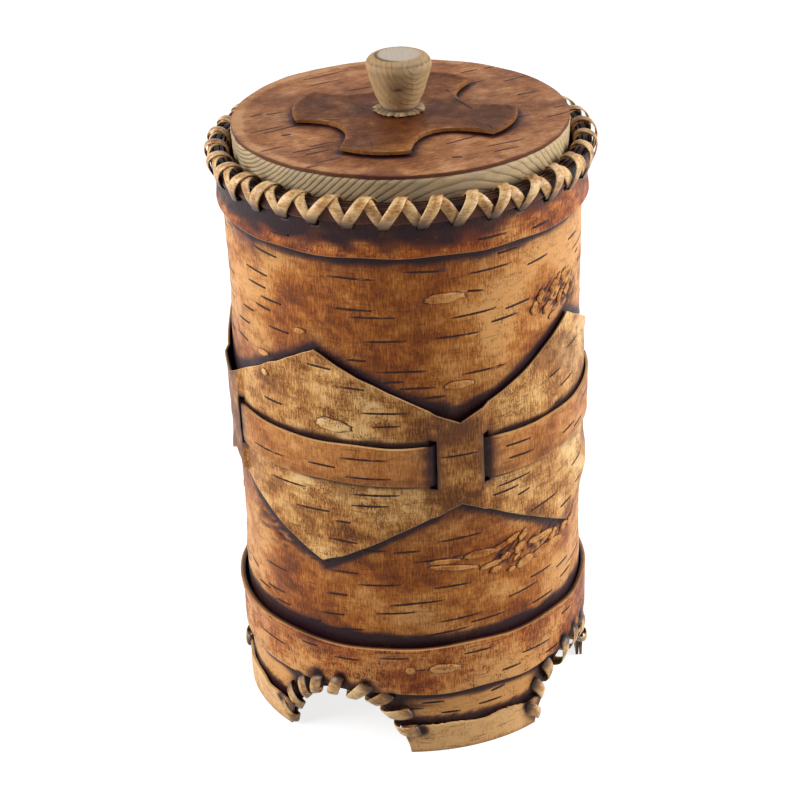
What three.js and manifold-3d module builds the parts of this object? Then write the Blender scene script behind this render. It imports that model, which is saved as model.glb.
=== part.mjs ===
// Birch bark canister: a lined bark cylinder that stands on four arched feet. It is bound with
// bark hoops and a diamond belt, its rim and arches are laced with flat bark strips, and a
// wooden plug with a turned knob closes it.
// Millimetres, +Z up, with the origin on the ground under the middle of the base.
// Angles are degrees about +Z, counted from +X towards +Y.

import * as THREE from 'three';
import { mergeVertices } from 'three/addons/utils/BufferGeometryUtils.js';
import Module from 'manifold-3d';

const wasm = await Module();
wasm.setup();

// Sheets of the wall, from the outside in
const wrapRadius = 50;
const wrapThickness = 0.8;
const linerThickness = 0.6;
const layerGap = 0.4;
const rimHeight = 171.2;
const linerLift = 25.5;

// Hoops, rim strip and the pared laps of every band
const hoopThickness = 1.4;
const topHoopHeight = 14.6;
const bottomHoopHeight = 15.8;
const rimStripThickness = 0.7;
const rimStripHeight = 4.4;
const lapLength = 13;
const lapGap = 0.15;

// Feet and arches
const footHeight = 20.3;
const archRise = 18.8;
const archWidth = 39.3;
const footStripThickness = 0.7;
const footStripHeight = 9.5;
const footStripEnd = 1.5;

// Bottom disc
const discThickness = 8;
const discInset = 1;
const discClearance = 0.5;

// Diamond belt and the strap threaded through it
const beltMiddle = 95;
const beltThickness = 0.7;
const diamondHeight = 65.8;
const neckHeight = 24.6;
const bridgeWidth = 12.8;
const slotWidth = 1.9;
const slotLength = 15;
const strapWidth = 11.7;
const strapEase = 0.4;
const strapSeam = 0.8;

// Flat bark lace
const laceWidth = 3.1;
const laceThickness = 0.4;
const laceClearance = 0.25;
const rimStitchDepth = 4.9;
const archStitchDepth = 5;
const archLaceEase = 0.25;

// Plug lid
const plugLength = 16.6;
const plugStand = 5.7;
const plugClearance = 0.3;
const plugTaper = 0.06;
const lidGap = 0.3;
const lidBarkThickness = 0.85;
const lidBarkInset = 0.1;
const crossThickness = 0.8;
const crossBulge = 0.9;

// Knob and its tenon
const knobHeight = 15.6;
const knobRadius = 9;
const knobFootRadius = 4.9;
const tenonRadius = 4;
const tenonClearance = 0.3;
const tenonDepth = 10;

// Where things stand round the canister, in degrees
const fullTurn = 360;
const quarterTurn = 90;
const facetTurn = 7.5;
const leastTurn = 0.25;
const footTurn = 45;
const neckTurn = 40.5;
const rimStitchTurn = 3.9;
const linerSeam = 295;
const wrapSeam = 131;
const topHoopSeam = 108;
const rimStripSeam = 150;
const beltSeam = 85.5;
const bottomHoopSeam = 139;

// Counts
const quarters = 4;
const rimStitches = 34;
const archStitches = 9;
const archSteps = 12;
const lidFacets = 48;
const knobFacets = 24;
const crossCurveSteps = 6;

// Overrun of every cutter past the sheet that it cuts
const cutOverrun = 1;

// The arch is |x / halfwidth| ** shoulder + (z / rise) ** crown = 1.
const shoulderShare = 2.5;
const crownShare = 1.4;
// Where the first arch stitch sits along the edge, and where a lace turns over the edge
const firstStitchShare = 0.09;
const turnShare = 0.19;

// The ornament's four arms, cut by hand: the turn at which each starts and ends, how far its
// corners reach, and how far from the middle the bite after it comes
const crossArms = [
  { start: -14, end: 25, reach: 32, bite: 18.2 },
  { start: 73, end: 115, reach: 30.8, bite: 16.8 },
  { start: 171, end: 218, reach: 29, bite: 20.2 },
  { start: 265.5, end: 299.5, reach: 32.8, bite: 19.4 },
];

// Knob outline, from its foot to its top: shares of its height and of its radius
const knobHeightShares = [0.29, 0.52, 0.74, 0.81, 0.87, 0.94, 1];
const knobRadiusShares = [0.73, 0.86, 0.98, 1, 0.99, 0.93, 0.68];

const colours = {
  wrap: 0xb47a45,
  liner: 0xc9965f,
  hoop: 0xa96b38,
  strip: 0x7a4626,
  belt: 0xc48d50,
  strap: 0xb97c42,
  lace: 0xd3a468,
  wood: 0xc6b48f,
  lidBark: 0xb17a4f,
  cross: 0xc08c5c,
  knob: 0xb59b72,
};

// Radii that follow from the sizes above
const wrapInner = wrapRadius - wrapThickness;
const linerOuter = wrapInner - layerGap;
const linerInner = linerOuter - linerThickness;
const hoopInner = wrapRadius + layerGap;
const hoopOuter = hoopInner + hoopThickness;
const rimStripInner = hoopOuter + layerGap;
const rimStripOuter = rimStripInner + rimStripThickness;
const footStripInner = wrapRadius + layerGap;
const footStripOuter = footStripInner + footStripThickness;
const beltLow = wrapRadius + layerGap;
const beltHigh = beltLow + beltThickness + layerGap;
const halfArch = archWidth / 2;

// Distance from a wall to the middle of the lace that lies on it, and to the one over that
const underReach = laceClearance + laceThickness / 2;
const overReach = underReach + laceThickness + laceClearance;
const archReach = underReach + archLaceEase;

// Lid heights, from the plug's lower face up, and its largest radius inside the laces
const plugBottom = rimHeight + plugStand - plugLength;
const plugTop = rimHeight + plugStand;
const lidBarkBottom = plugTop + lidGap;
const crossBottom = lidBarkBottom + lidBarkThickness + lidGap;
const knobBottom = crossBottom + crossThickness + lidGap;
const plugAtRim = linerInner - overReach - laceThickness / 2 - plugClearance;
const plugTopRadius = plugAtRim + plugStand * plugTaper;
const plugBottomRadius = plugTopRadius - plugLength * plugTaper;
const mortiseRadius = tenonRadius + tenonClearance;

const radians = (degrees) => THREE.MathUtils.degToRad(degrees);
const turnOf = (arc) => THREE.MathUtils.radToDeg(arc / wrapRadius);
const always = (value) => (typeof value === 'function' ? value : () => value);

function polar(radius, turn, height) {
  const angle = radians(turn);
  return new THREE.Vector3(radius * Math.cos(angle), radius * Math.sin(angle), height);
}

function signedVolume(points, index) {
  let total = 0;
  for (let i = 0; i < index.length; i += 3) {
    const [a, b, c] = [points[index[i]], points[index[i + 1]], points[index[i + 2]]];
    total += a.dot(b.clone().cross(c));
  }
  return total;
}

function geometryOf(points, index) {
  const geometry = new THREE.BufferGeometry();
  const outward = signedVolume(points, index) < 0 ? [...index].reverse() : index;
  geometry.setAttribute(
    'position',
    new THREE.Float32BufferAttribute(points.flatMap((point) => point.toArray()), 3),
  );
  geometry.setIndex(outward);
  return geometry;
}

// Joins a row of sections with four corners into one solid: a closed loop, or a strip with
// two ends. Opposite faces are split along the same diagonal, so a thin strip stays even.
function sweep(sections, closed) {
  const sides = sections[0].length;
  const index = [];
  const joints = closed ? sections.length : sections.length - 1;
  for (let i = 0; i < joints; i += 1) {
    const here = i * sides;
    const next = ((i + 1) % sections.length) * sides;
    for (let side = 0; side < sides; side += 1) {
      const other = (side + 1) % sides;
      if (side < sides / 2) {
        index.push(here + side, next + side, next + other);
        index.push(here + side, next + other, here + other);
      } else {
        index.push(here + side, next + side, here + other);
        index.push(next + side, next + other, here + other);
      }
    }
  }
  if (!closed) {
    const end = (sections.length - 1) * sides;
    for (let side = 2; side < sides; side += 1) {
      index.push(0, side - 1, side);
      index.push(end, end + side, end + side - 1);
    }
  }
  return geometryOf(sections.flat(), index);
}

// The turns at which a band has a section: its ends, its marks on every turn that it reaches,
// and the even facets between them.
function columns(from, to, marks) {
  const turns = [from, to];
  const add = (turn) => {
    const inside = turn > from && turn < to;
    if (inside && turns.every((known) => Math.abs(known - turn) > leastTurn)) {
      turns.push(turn);
    }
  };
  for (const mark of marks) {
    const first = mark + Math.ceil((from - mark) / fullTurn) * fullTurn;
    for (let turn = first; turn < to; turn += fullTurn) {
      add(turn);
    }
  }
  for (let facet = Math.ceil(from / facetTurn); facet * facetTurn < to; facet += 1) {
    add(facet * facetTurn);
  }
  return turns.sort((a, b) => a - b);
}

// A strip of bark bent round the axis. Its lower and upper edges and its two faces are
// lengths, or functions of the turn.
function band({ from, to, marks = [], bottom, top, inner, outer }) {
  const [low, high, near, far] = [bottom, top, inner, outer].map(always);
  const closed = to - from === fullTurn;
  const turns = columns(from, to, marks);
  if (closed) {
    turns.pop();
  }
  const sections = turns.map((turn) => [
    polar(near(turn), turn, low(turn)),
    polar(far(turn), turn, low(turn)),
    polar(far(turn), turn, high(turn)),
    polar(near(turn), turn, high(turn)),
  ]);
  return sweep(sections, closed);
}

// A strip that goes once round and laps over its own start. Both ends are pared to less than
// half, so that the lap is no thicker than the strip.
function lappedBand({ seam, marks = [], bottom, top, inner, outer }) {
  const lap = turnOf(lapLength);
  const step = turnOf(layerGap);
  const from = seam - lap / 2;
  const to = from + fullTurn + lap;
  const paredEnd = from + lap + step;
  const paredStart = to - lap - step;
  const [near, far] = [inner, outer].map(always);
  const middle = (turn) => (near(turn) + far(turn)) / 2;
  const { clamp, mapLinear } = THREE.MathUtils;
  const lapMarks = [from, to, paredEnd, paredEnd + step, paredStart - step, paredStart];
  return band({
    from,
    to,
    marks: [...lapMarks, ...marks],
    bottom,
    top,
    inner: (turn) => {
      const place = clamp(turn, paredStart - step, paredStart);
      const pared = middle(turn) + lapGap / 2;
      return mapLinear(place, paredStart - step, paredStart, near(turn), pared);
    },
    outer: (turn) => {
      const place = clamp(turn, paredEnd, paredEnd + step);
      const pared = middle(turn) - lapGap / 2;
      return mapLinear(place, paredEnd, paredEnd + step, pared, far(turn));
    },
  });
}

// An outline of radius and height, turned about the axis.
function turned(outline, facets) {
  const points = outline.map(([radius, height]) => new THREE.Vector2(radius, height));
  const geometry = new THREE.LatheGeometry(points, facets);
  geometry.rotateX(Math.PI / 2);
  return geometry;
}

// Cutting: a geometry becomes a solid, loses each cutter in turn and comes back.
function solidOf(geometry) {
  const bare = new THREE.BufferGeometry();
  bare.setAttribute('position', geometry.getAttribute('position'));
  bare.setIndex(geometry.getIndex());
  const merged = mergeVertices(bare);
  return new wasm.Manifold(new wasm.Mesh({
    numProp: 3,
    vertProperties: new Float32Array(merged.getAttribute('position').array),
    triVerts: new Uint32Array(merged.getIndex().array),
  }));
}

function cut(geometry, cutters) {
  let solid = solidOf(geometry);
  for (const cutter of cutters) {
    solid = solid.subtract(solidOf(cutter));
  }
  const mesh = solid.getMesh();
  const result = new THREE.BufferGeometry();
  result.setAttribute('position', new THREE.Float32BufferAttribute(mesh.vertProperties, 3));
  result.setIndex([...mesh.triVerts]);
  return result;
}

// A slit right through the wall. Its width runs round the wall, or along a tilted edge.
function slit({ turn, height, width, tall, tilt = 0 }) {
  const depth = rimStripOuter - linerInner + 2 * cutOverrun;
  const geometry = new THREE.BoxGeometry(depth, width, tall);
  geometry.rotateX(tilt);
  geometry.translate((rimStripOuter + linerInner) / 2, 0, 0);
  geometry.rotateZ(radians(turn));
  geometry.translate(0, 0, height);
  return geometry;
}

// The edge of an arch, unrolled on the wrap: x is the arc from its middle, y is the height.
class ArchCurve extends THREE.Curve {
  getPoint(t, target = new THREE.Vector2()) {
    const swing = Math.PI * (t - 1 / 2);
    const across = Math.abs(Math.sin(swing)) ** (2 / shoulderShare);
    const up = Math.max(Math.cos(swing), 0) ** (2 / crownShare);
    return target.set(Math.sign(swing) * across * halfArch, up * archRise);
  }
}

const archCurve = new ArchCurve();
const archMarks = Array.from({ length: archSteps + 1 }, (_, step) => (
  turnOf(archCurve.getPoint(step / archSteps).x)
));
const allArchMarks = Array.from({ length: quarters }, (_, quarter) => (
  archMarks.map((mark) => mark + quarter * quarterTurn)
)).flat();

// Height of the wrap's lower edge: zero on the feet, the arch between them.
function archEdge(turn) {
  const fromMiddle = THREE.MathUtils.euclideanModulo(turn + footTurn, quarterTurn) - footTurn;
  const share = Math.abs(radians(fromMiddle) * wrapRadius) / halfArch;
  return share < 1 ? archRise * (1 - share ** shoulderShare) ** (1 / crownShare) : 0;
}

// An edge that a lace is whipped over. Each gives, for a count of stitches, the point of the
// edge on the unrolled wall and the direction from there into the bark.
const rimEdge = (stitch) => ({
  turn: rimStitchTurn + stitch * fullTurn / rimStitches,
  height: rimHeight,
  into: new THREE.Vector2(0, -1),
});

const archEdgeAt = (quarter) => (stitch) => {
  const share = stitch / (archStitches - 1);
  const along = THREE.MathUtils.lerp(firstStitchShare, 1 - firstStitchShare, share);
  const point = archCurve.getPointAt(along);
  const tangent = archCurve.getTangentAt(along);
  return {
    turn: quarter * quarterTurn + turnOf(point.x),
    height: point.y,
    into: new THREE.Vector2(-tangent.y, tangent.x),
  };
};

// One section of a lace: where it lies across the wall, and the direction of the edge there.
function laceStation(edge, radius, depth) {
  const { turn, height, into } = edge;
  const place = turn + turnOf(into.x * depth);
  const edgeWay = polar(1, place + quarterTurn, 0).multiplyScalar(into.y);
  return {
    point: polar(radius, place, height + into.y * depth),
    edgeWay: edgeWay.sub(new THREE.Vector3(0, 0, into.x)),
  };
}

// A flat lace that goes out through a slit, over the edge and back in to the next slit. It
// stays at its reach from the wall, whose outer face may change from stitch to stitch. Its
// folds run along the edge, so its sections do too.
function whippedLace({ edgeAt, loops, outerAt, inner, depth, reach, forward, closed }) {
  const half = reach / 2;
  const way = forward ? 1 : -1;
  const stations = [];
  const add = (stitch, radius, down) => {
    stations.push(laceStation(edgeAt(stitch), radius, down));
  };
  const goOut = (stitch) => {
    add(stitch, outerAt(stitch) + half, depth + reach);
    add(stitch, outerAt(stitch) + reach, depth + half);
  };
  for (let loop = 0; loop < loops; loop += 1) {
    const start = way * loop;
    const overEdge = start + way * (1 / 2 - turnShare);
    const underEdge = start + way * (1 / 2 + turnShare);
    goOut(start);
    add(overEdge, outerAt(start) + reach, -half);
    add(overEdge, outerAt(start) + half, -reach);
    add(underEdge, inner - half, -reach);
    add(underEdge, inner - reach, -half);
    add(start + way, inner - reach, depth + half);
    add(start + way, inner - half, depth + reach);
  }
  if (!closed) {
    goOut(way * loops);
  }
  const count = stations.length;
  const pointAt = (i) => (
    stations[closed ? (i + count) % count : THREE.MathUtils.clamp(i, 0, count - 1)].point
  );
  const sections = stations.map(({ point, edgeWay }, i) => {
    const along = pointAt(i + 1).clone().sub(pointAt(i - 1)).normalize();
    const lift = edgeWay.clone().cross(along);
    const side = edgeWay.clone().multiplyScalar(laceWidth / 2 / lift.length());
    lift.setLength(laceThickness / 2);
    return [
      point.clone().sub(side).sub(lift),
      point.clone().add(side).sub(lift),
      point.clone().add(side).add(lift),
      point.clone().sub(side).add(lift),
    ];
  });
  return sweep(sections, closed);
}

// Slits for the laces: on the rim one slit takes both strands, one over the other.
const slitWidth = laceWidth + 2 * laceClearance;
const slitBetween = (depth, reach) => {
  const far = depth + reach + laceThickness / 2 + laceClearance;
  return { middle: (depth + far) / 2, tall: far - depth };
};

function stitchSlit(edge, depth, reach) {
  const { middle, tall } = slitBetween(depth, reach);
  return slit({
    turn: edge.turn + turnOf(edge.into.x * middle),
    height: edge.height + edge.into.y * middle,
    width: slitWidth,
    tall,
    tilt: Math.atan2(-edge.into.x, edge.into.y),
  });
}

const rimSlits = Array.from({ length: rimStitches }, (_, stitch) => (
  stitchSlit(rimEdge(stitch), rimStitchDepth, overReach)
));
const archSlits = Array.from({ length: quarters }, (_, quarter) => (
  Array.from({ length: archStitches }, (__, stitch) => (
    stitchSlit(archEdgeAt(quarter)(stitch), archStitchDepth, archReach)
  ))
)).flat();

// The bark that a stitch of the arch lace lies on: the hoop, the foot strip or the wrap.
function faceUnder(edge) {
  const slitHeight = edge.height + edge.into.y * archStitchDepth;
  if (slitHeight + slitWidth > footHeight) {
    return hoopOuter;
  }
  return edge.height - slitWidth < footStripHeight ? footStripOuter : wrapRadius;
}

// Wall
function innerLiner() {
  const tube = lappedBand({
    seam: linerSeam,
    bottom: linerLift,
    top: rimHeight,
    inner: linerInner,
    outer: linerOuter,
  });
  return cut(tube, rimSlits);
}

function outerWrap() {
  const tube = lappedBand({
    seam: wrapSeam,
    marks: allArchMarks,
    bottom: archEdge,
    top: rimHeight,
    inner: wrapInner,
    outer: wrapRadius,
  });
  return cut(tube, [...rimSlits, ...archSlits]);
}

function bottomDisc() {
  const radius = linerInner - discClearance;
  const low = linerLift + discInset;
  const high = low + discThickness;
  return turned([[0, low], [radius, low], [radius, high], [0, high]], lidFacets);
}

// Hoops
function topHoop() {
  const hoop = lappedBand({
    seam: topHoopSeam,
    bottom: rimHeight - topHoopHeight,
    top: rimHeight,
    inner: hoopInner,
    outer: hoopOuter,
  });
  return cut(hoop, rimSlits);
}

function rimStrip() {
  return lappedBand({
    seam: rimStripSeam,
    bottom: rimHeight - rimStripHeight,
    top: rimHeight,
    inner: rimStripInner,
    outer: rimStripOuter,
  });
}

function bottomHoop() {
  const hoop = lappedBand({
    seam: bottomHoopSeam,
    bottom: footHeight,
    top: footHeight + bottomHoopHeight,
    inner: hoopInner,
    outer: hoopOuter,
  });
  return cut(hoop, archSlits);
}

// Belt: at each neck it stands out from the wrap, and the strap dives under it there.
const halfBridge = turnOf(bridgeWidth / 2);
const halfOpening = turnOf(bridgeWidth / 2 + slotWidth);
const ease = turnOf(strapEase);

const fromNeck = (turn) => (
  Math.abs(THREE.MathUtils.euclideanModulo(turn - neckTurn + footTurn, quarterTurn) - footTurn)
);

function acrossSlot(turn, atBridge, atDiamond, inset) {
  const [near, far] = [halfBridge + inset, halfOpening - inset];
  const place = THREE.MathUtils.clamp(fromNeck(turn), near, far);
  return THREE.MathUtils.mapLinear(place, near, far, atBridge, atDiamond);
}

const neckMarks = Array.from({ length: quarters }, (_, quarter) => {
  const neck = neckTurn + quarter * quarterTurn;
  const [near, far] = [halfBridge, halfOpening];
  const steps = [0, near, far, near + ease, far - ease, footTurn];
  return steps.flatMap((step) => [neck - step, neck + step]);
}).flat();

const diamondEdge = (turn) => (
  THREE.MathUtils.mapLinear(fromNeck(turn), 0, footTurn, neckHeight, diamondHeight) / 2
);

function diamondBelt() {
  const belt = lappedBand({
    seam: beltSeam,
    marks: neckMarks,
    bottom: (turn) => beltMiddle - diamondEdge(turn),
    top: (turn) => beltMiddle + diamondEdge(turn),
    inner: (turn) => acrossSlot(turn, beltHigh, beltLow, 0),
    outer: (turn) => acrossSlot(turn, beltHigh + beltThickness, beltLow + beltThickness, 0),
  });
  const slots = Array.from({ length: quarters }, (_, quarter) => (
    [-1, 1].map((side) => slit({
      turn: neckTurn + quarter * quarterTurn + side * (halfBridge + halfOpening) / 2,
      height: beltMiddle,
      width: slotWidth,
      tall: slotLength,
    }))
  )).flat();
  return cut(belt, slots);
}

function beltStrap() {
  const seam = neckTurn + quarterTurn;
  const gap = turnOf(strapSeam / 2);
  return band({
    from: seam + gap,
    to: seam + fullTurn - gap,
    marks: neckMarks,
    bottom: beltMiddle - strapWidth / 2,
    top: beltMiddle + strapWidth / 2,
    inner: (turn) => acrossSlot(turn, beltLow, beltHigh, ease),
    outer: (turn) => acrossSlot(turn, beltLow + beltThickness, beltHigh + beltThickness, ease),
  });
}

// Feet
function footStrip(quarter) {
  const endShare = 1 - ((footStripHeight - footStripEnd) / archRise) ** crownShare;
  const endTurn = turnOf(halfArch * endShare ** (1 / shoulderShare));
  const middle = footTurn + quarter * quarterTurn;
  const strip = band({
    from: middle - footTurn + endTurn,
    to: middle + footTurn - endTurn,
    marks: allArchMarks,
    bottom: archEdge,
    top: footStripHeight,
    inner: footStripInner,
    outer: footStripOuter,
  });
  return cut(strip, archSlits);
}

// Laces
const rimLace = (reach, forward) => whippedLace({
  edgeAt: rimEdge,
  loops: rimStitches,
  outerAt: () => rimStripOuter,
  inner: linerInner,
  depth: rimStitchDepth,
  reach,
  forward,
  closed: true,
});

const archLace = (quarter) => whippedLace({
  edgeAt: archEdgeAt(quarter),
  loops: archStitches - 1,
  outerAt: (stitch) => faceUnder(archEdgeAt(quarter)(stitch)),
  inner: wrapInner,
  depth: archStitchDepth,
  reach: archReach,
  forward: true,
  closed: false,
});

// Lid
function lidDisc() {
  const mortiseBottom = plugTop - tenonDepth - tenonClearance;
  return turned([
    [0, plugBottom],
    [plugBottomRadius, plugBottom],
    [plugTopRadius, plugTop],
    [mortiseRadius, plugTop],
    [mortiseRadius, mortiseBottom],
    [0, mortiseBottom],
  ], lidFacets);
}

function lidBark() {
  const radius = plugTopRadius - lidBarkInset;
  const top = lidBarkBottom + lidBarkThickness;
  return turned([
    [mortiseRadius, lidBarkBottom],
    [radius, lidBarkBottom],
    [radius, top],
    [mortiseRadius, top],
    [mortiseRadius, lidBarkBottom],
  ], lidFacets);
}

// The ornament: four arms with bulging ends, and a round bite between each pair.
function lidCross() {
  const shape = new THREE.Shape();
  const curveThrough = (first, middle, last) => {
    const pull = middle.multiplyScalar(2).addScaledVector(first.add(last), -1 / 2);
    shape.quadraticCurveTo(pull.x, pull.y, last.x, last.y);
  };
  const firstCorner = polar(crossArms[0].reach, crossArms[0].start, 0);
  shape.moveTo(firstCorner.x, firstCorner.y);
  crossArms.forEach((arm, i) => {
    const after = crossArms[(i + 1) % crossArms.length];
    const nextStart = i + 1 < crossArms.length ? after.start : after.start + fullTurn;
    const corner = (turn, reach) => polar(reach, turn, 0);
    const armMiddle = corner((arm.start + arm.end) / 2, arm.reach + crossBulge);
    curveThrough(corner(arm.start, arm.reach), armMiddle, corner(arm.end, arm.reach));
    const biteMiddle = corner((arm.end + nextStart) / 2, arm.bite);
    curveThrough(corner(arm.end, arm.reach), biteMiddle, corner(nextStart, after.reach));
  });
  shape.closePath();
  const hole = new THREE.Path();
  hole.absarc(0, 0, mortiseRadius, 0, 2 * Math.PI, true);
  shape.holes.push(hole);
  return new THREE.ExtrudeGeometry(shape, {
    depth: crossThickness,
    bevelEnabled: false,
    curveSegments: crossCurveSteps,
  });
}

function knob() {
  const outline = knobHeightShares.map((share, i) => (
    [knobRadiusShares[i] * knobRadius, knobBottom + share * knobHeight]
  ));
  const top = knobBottom + knobHeight;
  const tenonBottom = plugTop - tenonDepth;
  return turned([
    [0, tenonBottom],
    [tenonRadius, tenonBottom],
    [tenonRadius, knobBottom],
    [knobFootRadius, knobBottom],
    ...outline,
    [0, top],
  ], knobFacets);
}

const canister = new THREE.Group();

function place(name, geometry, color, height = 0) {
  const bark = new THREE.MeshStandardMaterial({ color, roughness: 0.7, metalness: 0 });
  const mesh = new THREE.Mesh(geometry, bark);
  mesh.name = name;
  mesh.position.z = height;
  canister.add(mesh);
}

place('inner_liner', innerLiner(), colours.liner);
place('outer_wrap', outerWrap(), colours.wrap);
place('bottom_disc', bottomDisc(), colours.wood);
place('top_hoop', topHoop(), colours.hoop);
place('rim_strip', rimStrip(), colours.strip);
place('rim_lace_under', rimLace(underReach, false), colours.lace);
place('rim_lace_over', rimLace(overReach, true), colours.lace);
place('diamond_belt', diamondBelt(), colours.belt);
place('belt_strap', beltStrap(), colours.strap);
place('bottom_hoop', bottomHoop(), colours.hoop);
for (let quarter = 0; quarter < quarters; quarter += 1) {
  place(`foot_strip_${quarter + 1}`, footStrip(quarter), colours.strap);
  place(`arch_lace_${quarter + 1}`, archLace(quarter), colours.lace);
}
place('lid_disc', lidDisc(), colours.wood);
place('lid_bark', lidBark(), colours.lidBark);
place('lid_cross', lidCross(), colours.cross, crossBottom);
place('knob', knob(), colours.knob);

export default canister;
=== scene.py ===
"""A lidded birch bark canister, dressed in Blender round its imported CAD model.

Inside the classes lengths are millimetres, heights are measured from the ground and turns are
degrees from +X towards +Y, as in the CAD source. A mesh is written in metres. A point of the
unrolled wall is (arc, depth, height): arc runs round the wall and depth into it.
"""

import logging
import math
from dataclasses import dataclass
from enum import Enum
from functools import cache
from typing import Any, Callable, Sequence

import bpy
import numpy as np
from bpy.types import ID, Material, Node, NodeSocket, NodeTree, Object
from mathutils import Matrix, Vector
from mathutils.geometry import delaunay_2d_cdt


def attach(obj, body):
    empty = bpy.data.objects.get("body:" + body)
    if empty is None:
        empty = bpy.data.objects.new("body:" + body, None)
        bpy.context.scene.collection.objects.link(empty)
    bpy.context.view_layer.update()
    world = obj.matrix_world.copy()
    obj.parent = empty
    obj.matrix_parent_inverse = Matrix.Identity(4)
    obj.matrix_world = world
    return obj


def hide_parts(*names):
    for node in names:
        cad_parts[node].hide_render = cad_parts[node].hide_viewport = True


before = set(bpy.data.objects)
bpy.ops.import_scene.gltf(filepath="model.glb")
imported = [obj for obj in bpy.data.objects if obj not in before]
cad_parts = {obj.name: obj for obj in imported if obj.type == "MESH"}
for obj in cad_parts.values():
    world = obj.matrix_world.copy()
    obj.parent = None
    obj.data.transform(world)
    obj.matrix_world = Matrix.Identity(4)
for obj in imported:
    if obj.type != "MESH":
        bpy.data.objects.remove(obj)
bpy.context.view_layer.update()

LOG = logging.getLogger("canister")
MM = 0.001
FULL_TURN = 360.0
QUARTER_TURN = 90.0
EIGHTH_TURN = 45.0
QUARTERS = 4
Array = np.ndarray
Field = Callable[[Array, Array], Array]
Spots = Sequence[tuple[float, float]]
Path = Sequence[tuple[float, float, float]]


# Sizes that the sub-assemblies share

@dataclass(frozen=True)
class Wall:
    """The radii and heights of the wall's layers, in millimetres, as the CAD source has them."""

    radius: float = 50.0
    wrap_inner: float = 49.2
    liner_inner: float = 48.2
    liner_outer: float = 48.8
    liner_low: float = 25.5
    rim: float = 171.2
    hoop_inner: float = 50.4
    hoop_outer: float = 51.8
    top_hoop_low: float = 156.6
    bottom_hoop_low: float = 20.3
    bottom_hoop_high: float = 36.1
    belt_middle: float = 95.0
    lap: float = 13.0
    camera_turn: float = -64.5

    def turn_of(self, arc: float) -> float:
        """Gives the turn in degrees of an arc on the wall."""
        return math.degrees(arc / self.radius)

    def arc_of(self, turn: Array) -> Array:
        """Gives the arc on the wall of a turn in degrees."""
        return np.radians(turn) * self.radius


WALL = Wall()


# Seeded unevenness

@dataclass(frozen=True)
class Ripple:
    """Smooth seeded waves over the wall that close without a seam round it.

    size is the middle wavelength up the wall and height the usual swing, both in millimetres.
    stretch is how many times longer the waves are round the wall than up it.
    """

    size: float
    height: float
    seed: int
    stretch: float = 1.0
    waves: int = 16

    def at(self, turn: Array, height: Array) -> Array:
        """Sums the waves.

        Args:
            turn: degrees round the wall.
            height: millimetres up the wall.

        Returns:
            The swing at each point, in millimetres.
        """
        rng = np.random.default_rng(self.seed)
        most = 2 * math.pi * WALL.radius / (self.size * self.stretch) * 1.5
        total = np.zeros(np.broadcast(turn, height).shape)
        for _ in range(self.waves):
            around = int(rng.integers(1, max(2, round(most)) + 1))
            up = 2 * math.pi / self.size * rng.uniform(-1.5, 1.5)
            start = rng.uniform(0, 2 * math.pi)
            total = total + np.sin(np.radians(turn) * around + height * up + start)
        return total * self.height * math.sqrt(2 / self.waves)


def fade(value: Array, start: float, end: float) -> Array:
    """Rises smoothly from 0 at start to 1 at end.

    Args:
        value: what is compared with the two marks.
        start: where the result is still 0.
        end: where the result has become 1.

    Returns:
        Shares from 0 to 1, of the same shape as value.
    """
    share = np.clip((value - start) / (end - start), 0, 1)
    return share * share * (3 - 2 * share)


def turn_between(turn: Array, middle: float, pitch: float = FULL_TURN) -> Array:
    """Gives how far a turn is past a middle that comes again at every pitch, in degrees."""
    return (turn - middle + pitch / 2) % pitch - pitch / 2


BODY_RIPPLE = Ripple(size=46, height=0.16, seed=11, stretch=1.2)
FINE_RIPPLE = Ripple(size=9, height=0.035, seed=12, stretch=2.5, waves=24)


def body_bulge(turn: Array, height: Array) -> Array:
    """Gives how far the whole wall swells or sinks, which all its sheets follow together."""
    amount = fade(height, 30, 48) * (1 - fade(height, 146, 158))
    return BODY_RIPPLE.at(turn, height) * amount


# Meshes

def in_scene(name: str, data: ID) -> Object:
    """Makes an object of a mesh, a curve, a camera or a lamp and puts it into the scene.

    Args:
        name: the object's name.
        data: what it shows.

    Returns:
        The object.
    """
    made = bpy.data.objects.new(name, data)
    bpy.context.scene.collection.objects.link(made)
    return made


def mesh_object(
    name: str, points: Array, faces: Sequence[Sequence[int]], marks: dict[str, Array],
    smooth: Sequence[bool] | None = None,
) -> Object:
    """Makes an object from points in millimetres.

    Args:
        name: the piece's name.
        points: one row of x, y, z for each point.
        faces: the indices of each face's points, anticlockwise from outside.
        marks: named numbers that the finishes read, one for each point.
        smooth: tells for each face whether it is smooth, where some aren't.

    Returns:
        The object, in the scene.
    """
    mesh = bpy.data.meshes.new(name)
    mesh.from_pydata((points * MM).tolist(), [], [list(map(int, f)) for f in faces])
    for mark, values in marks.items():
        attribute = mesh.attributes.new(mark, "FLOAT", "POINT")
        attribute.data.foreach_set("value", np.asarray(values, np.float32).ravel())
    mesh.polygons.foreach_set("use_smooth", [True] * len(faces) if smooth is None else list(smooth))
    mesh.validate()
    return in_scene(name, mesh)


def roll_up(turn: Array, radius: Array, height: Array) -> Array:
    """Gives the x, y, z of points that are told by turn, radius and height."""
    angle = np.radians(turn)
    return np.stack([radius * np.cos(angle), radius * np.sin(angle), height], -1)


EDGE_ROW = 0.22


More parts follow.
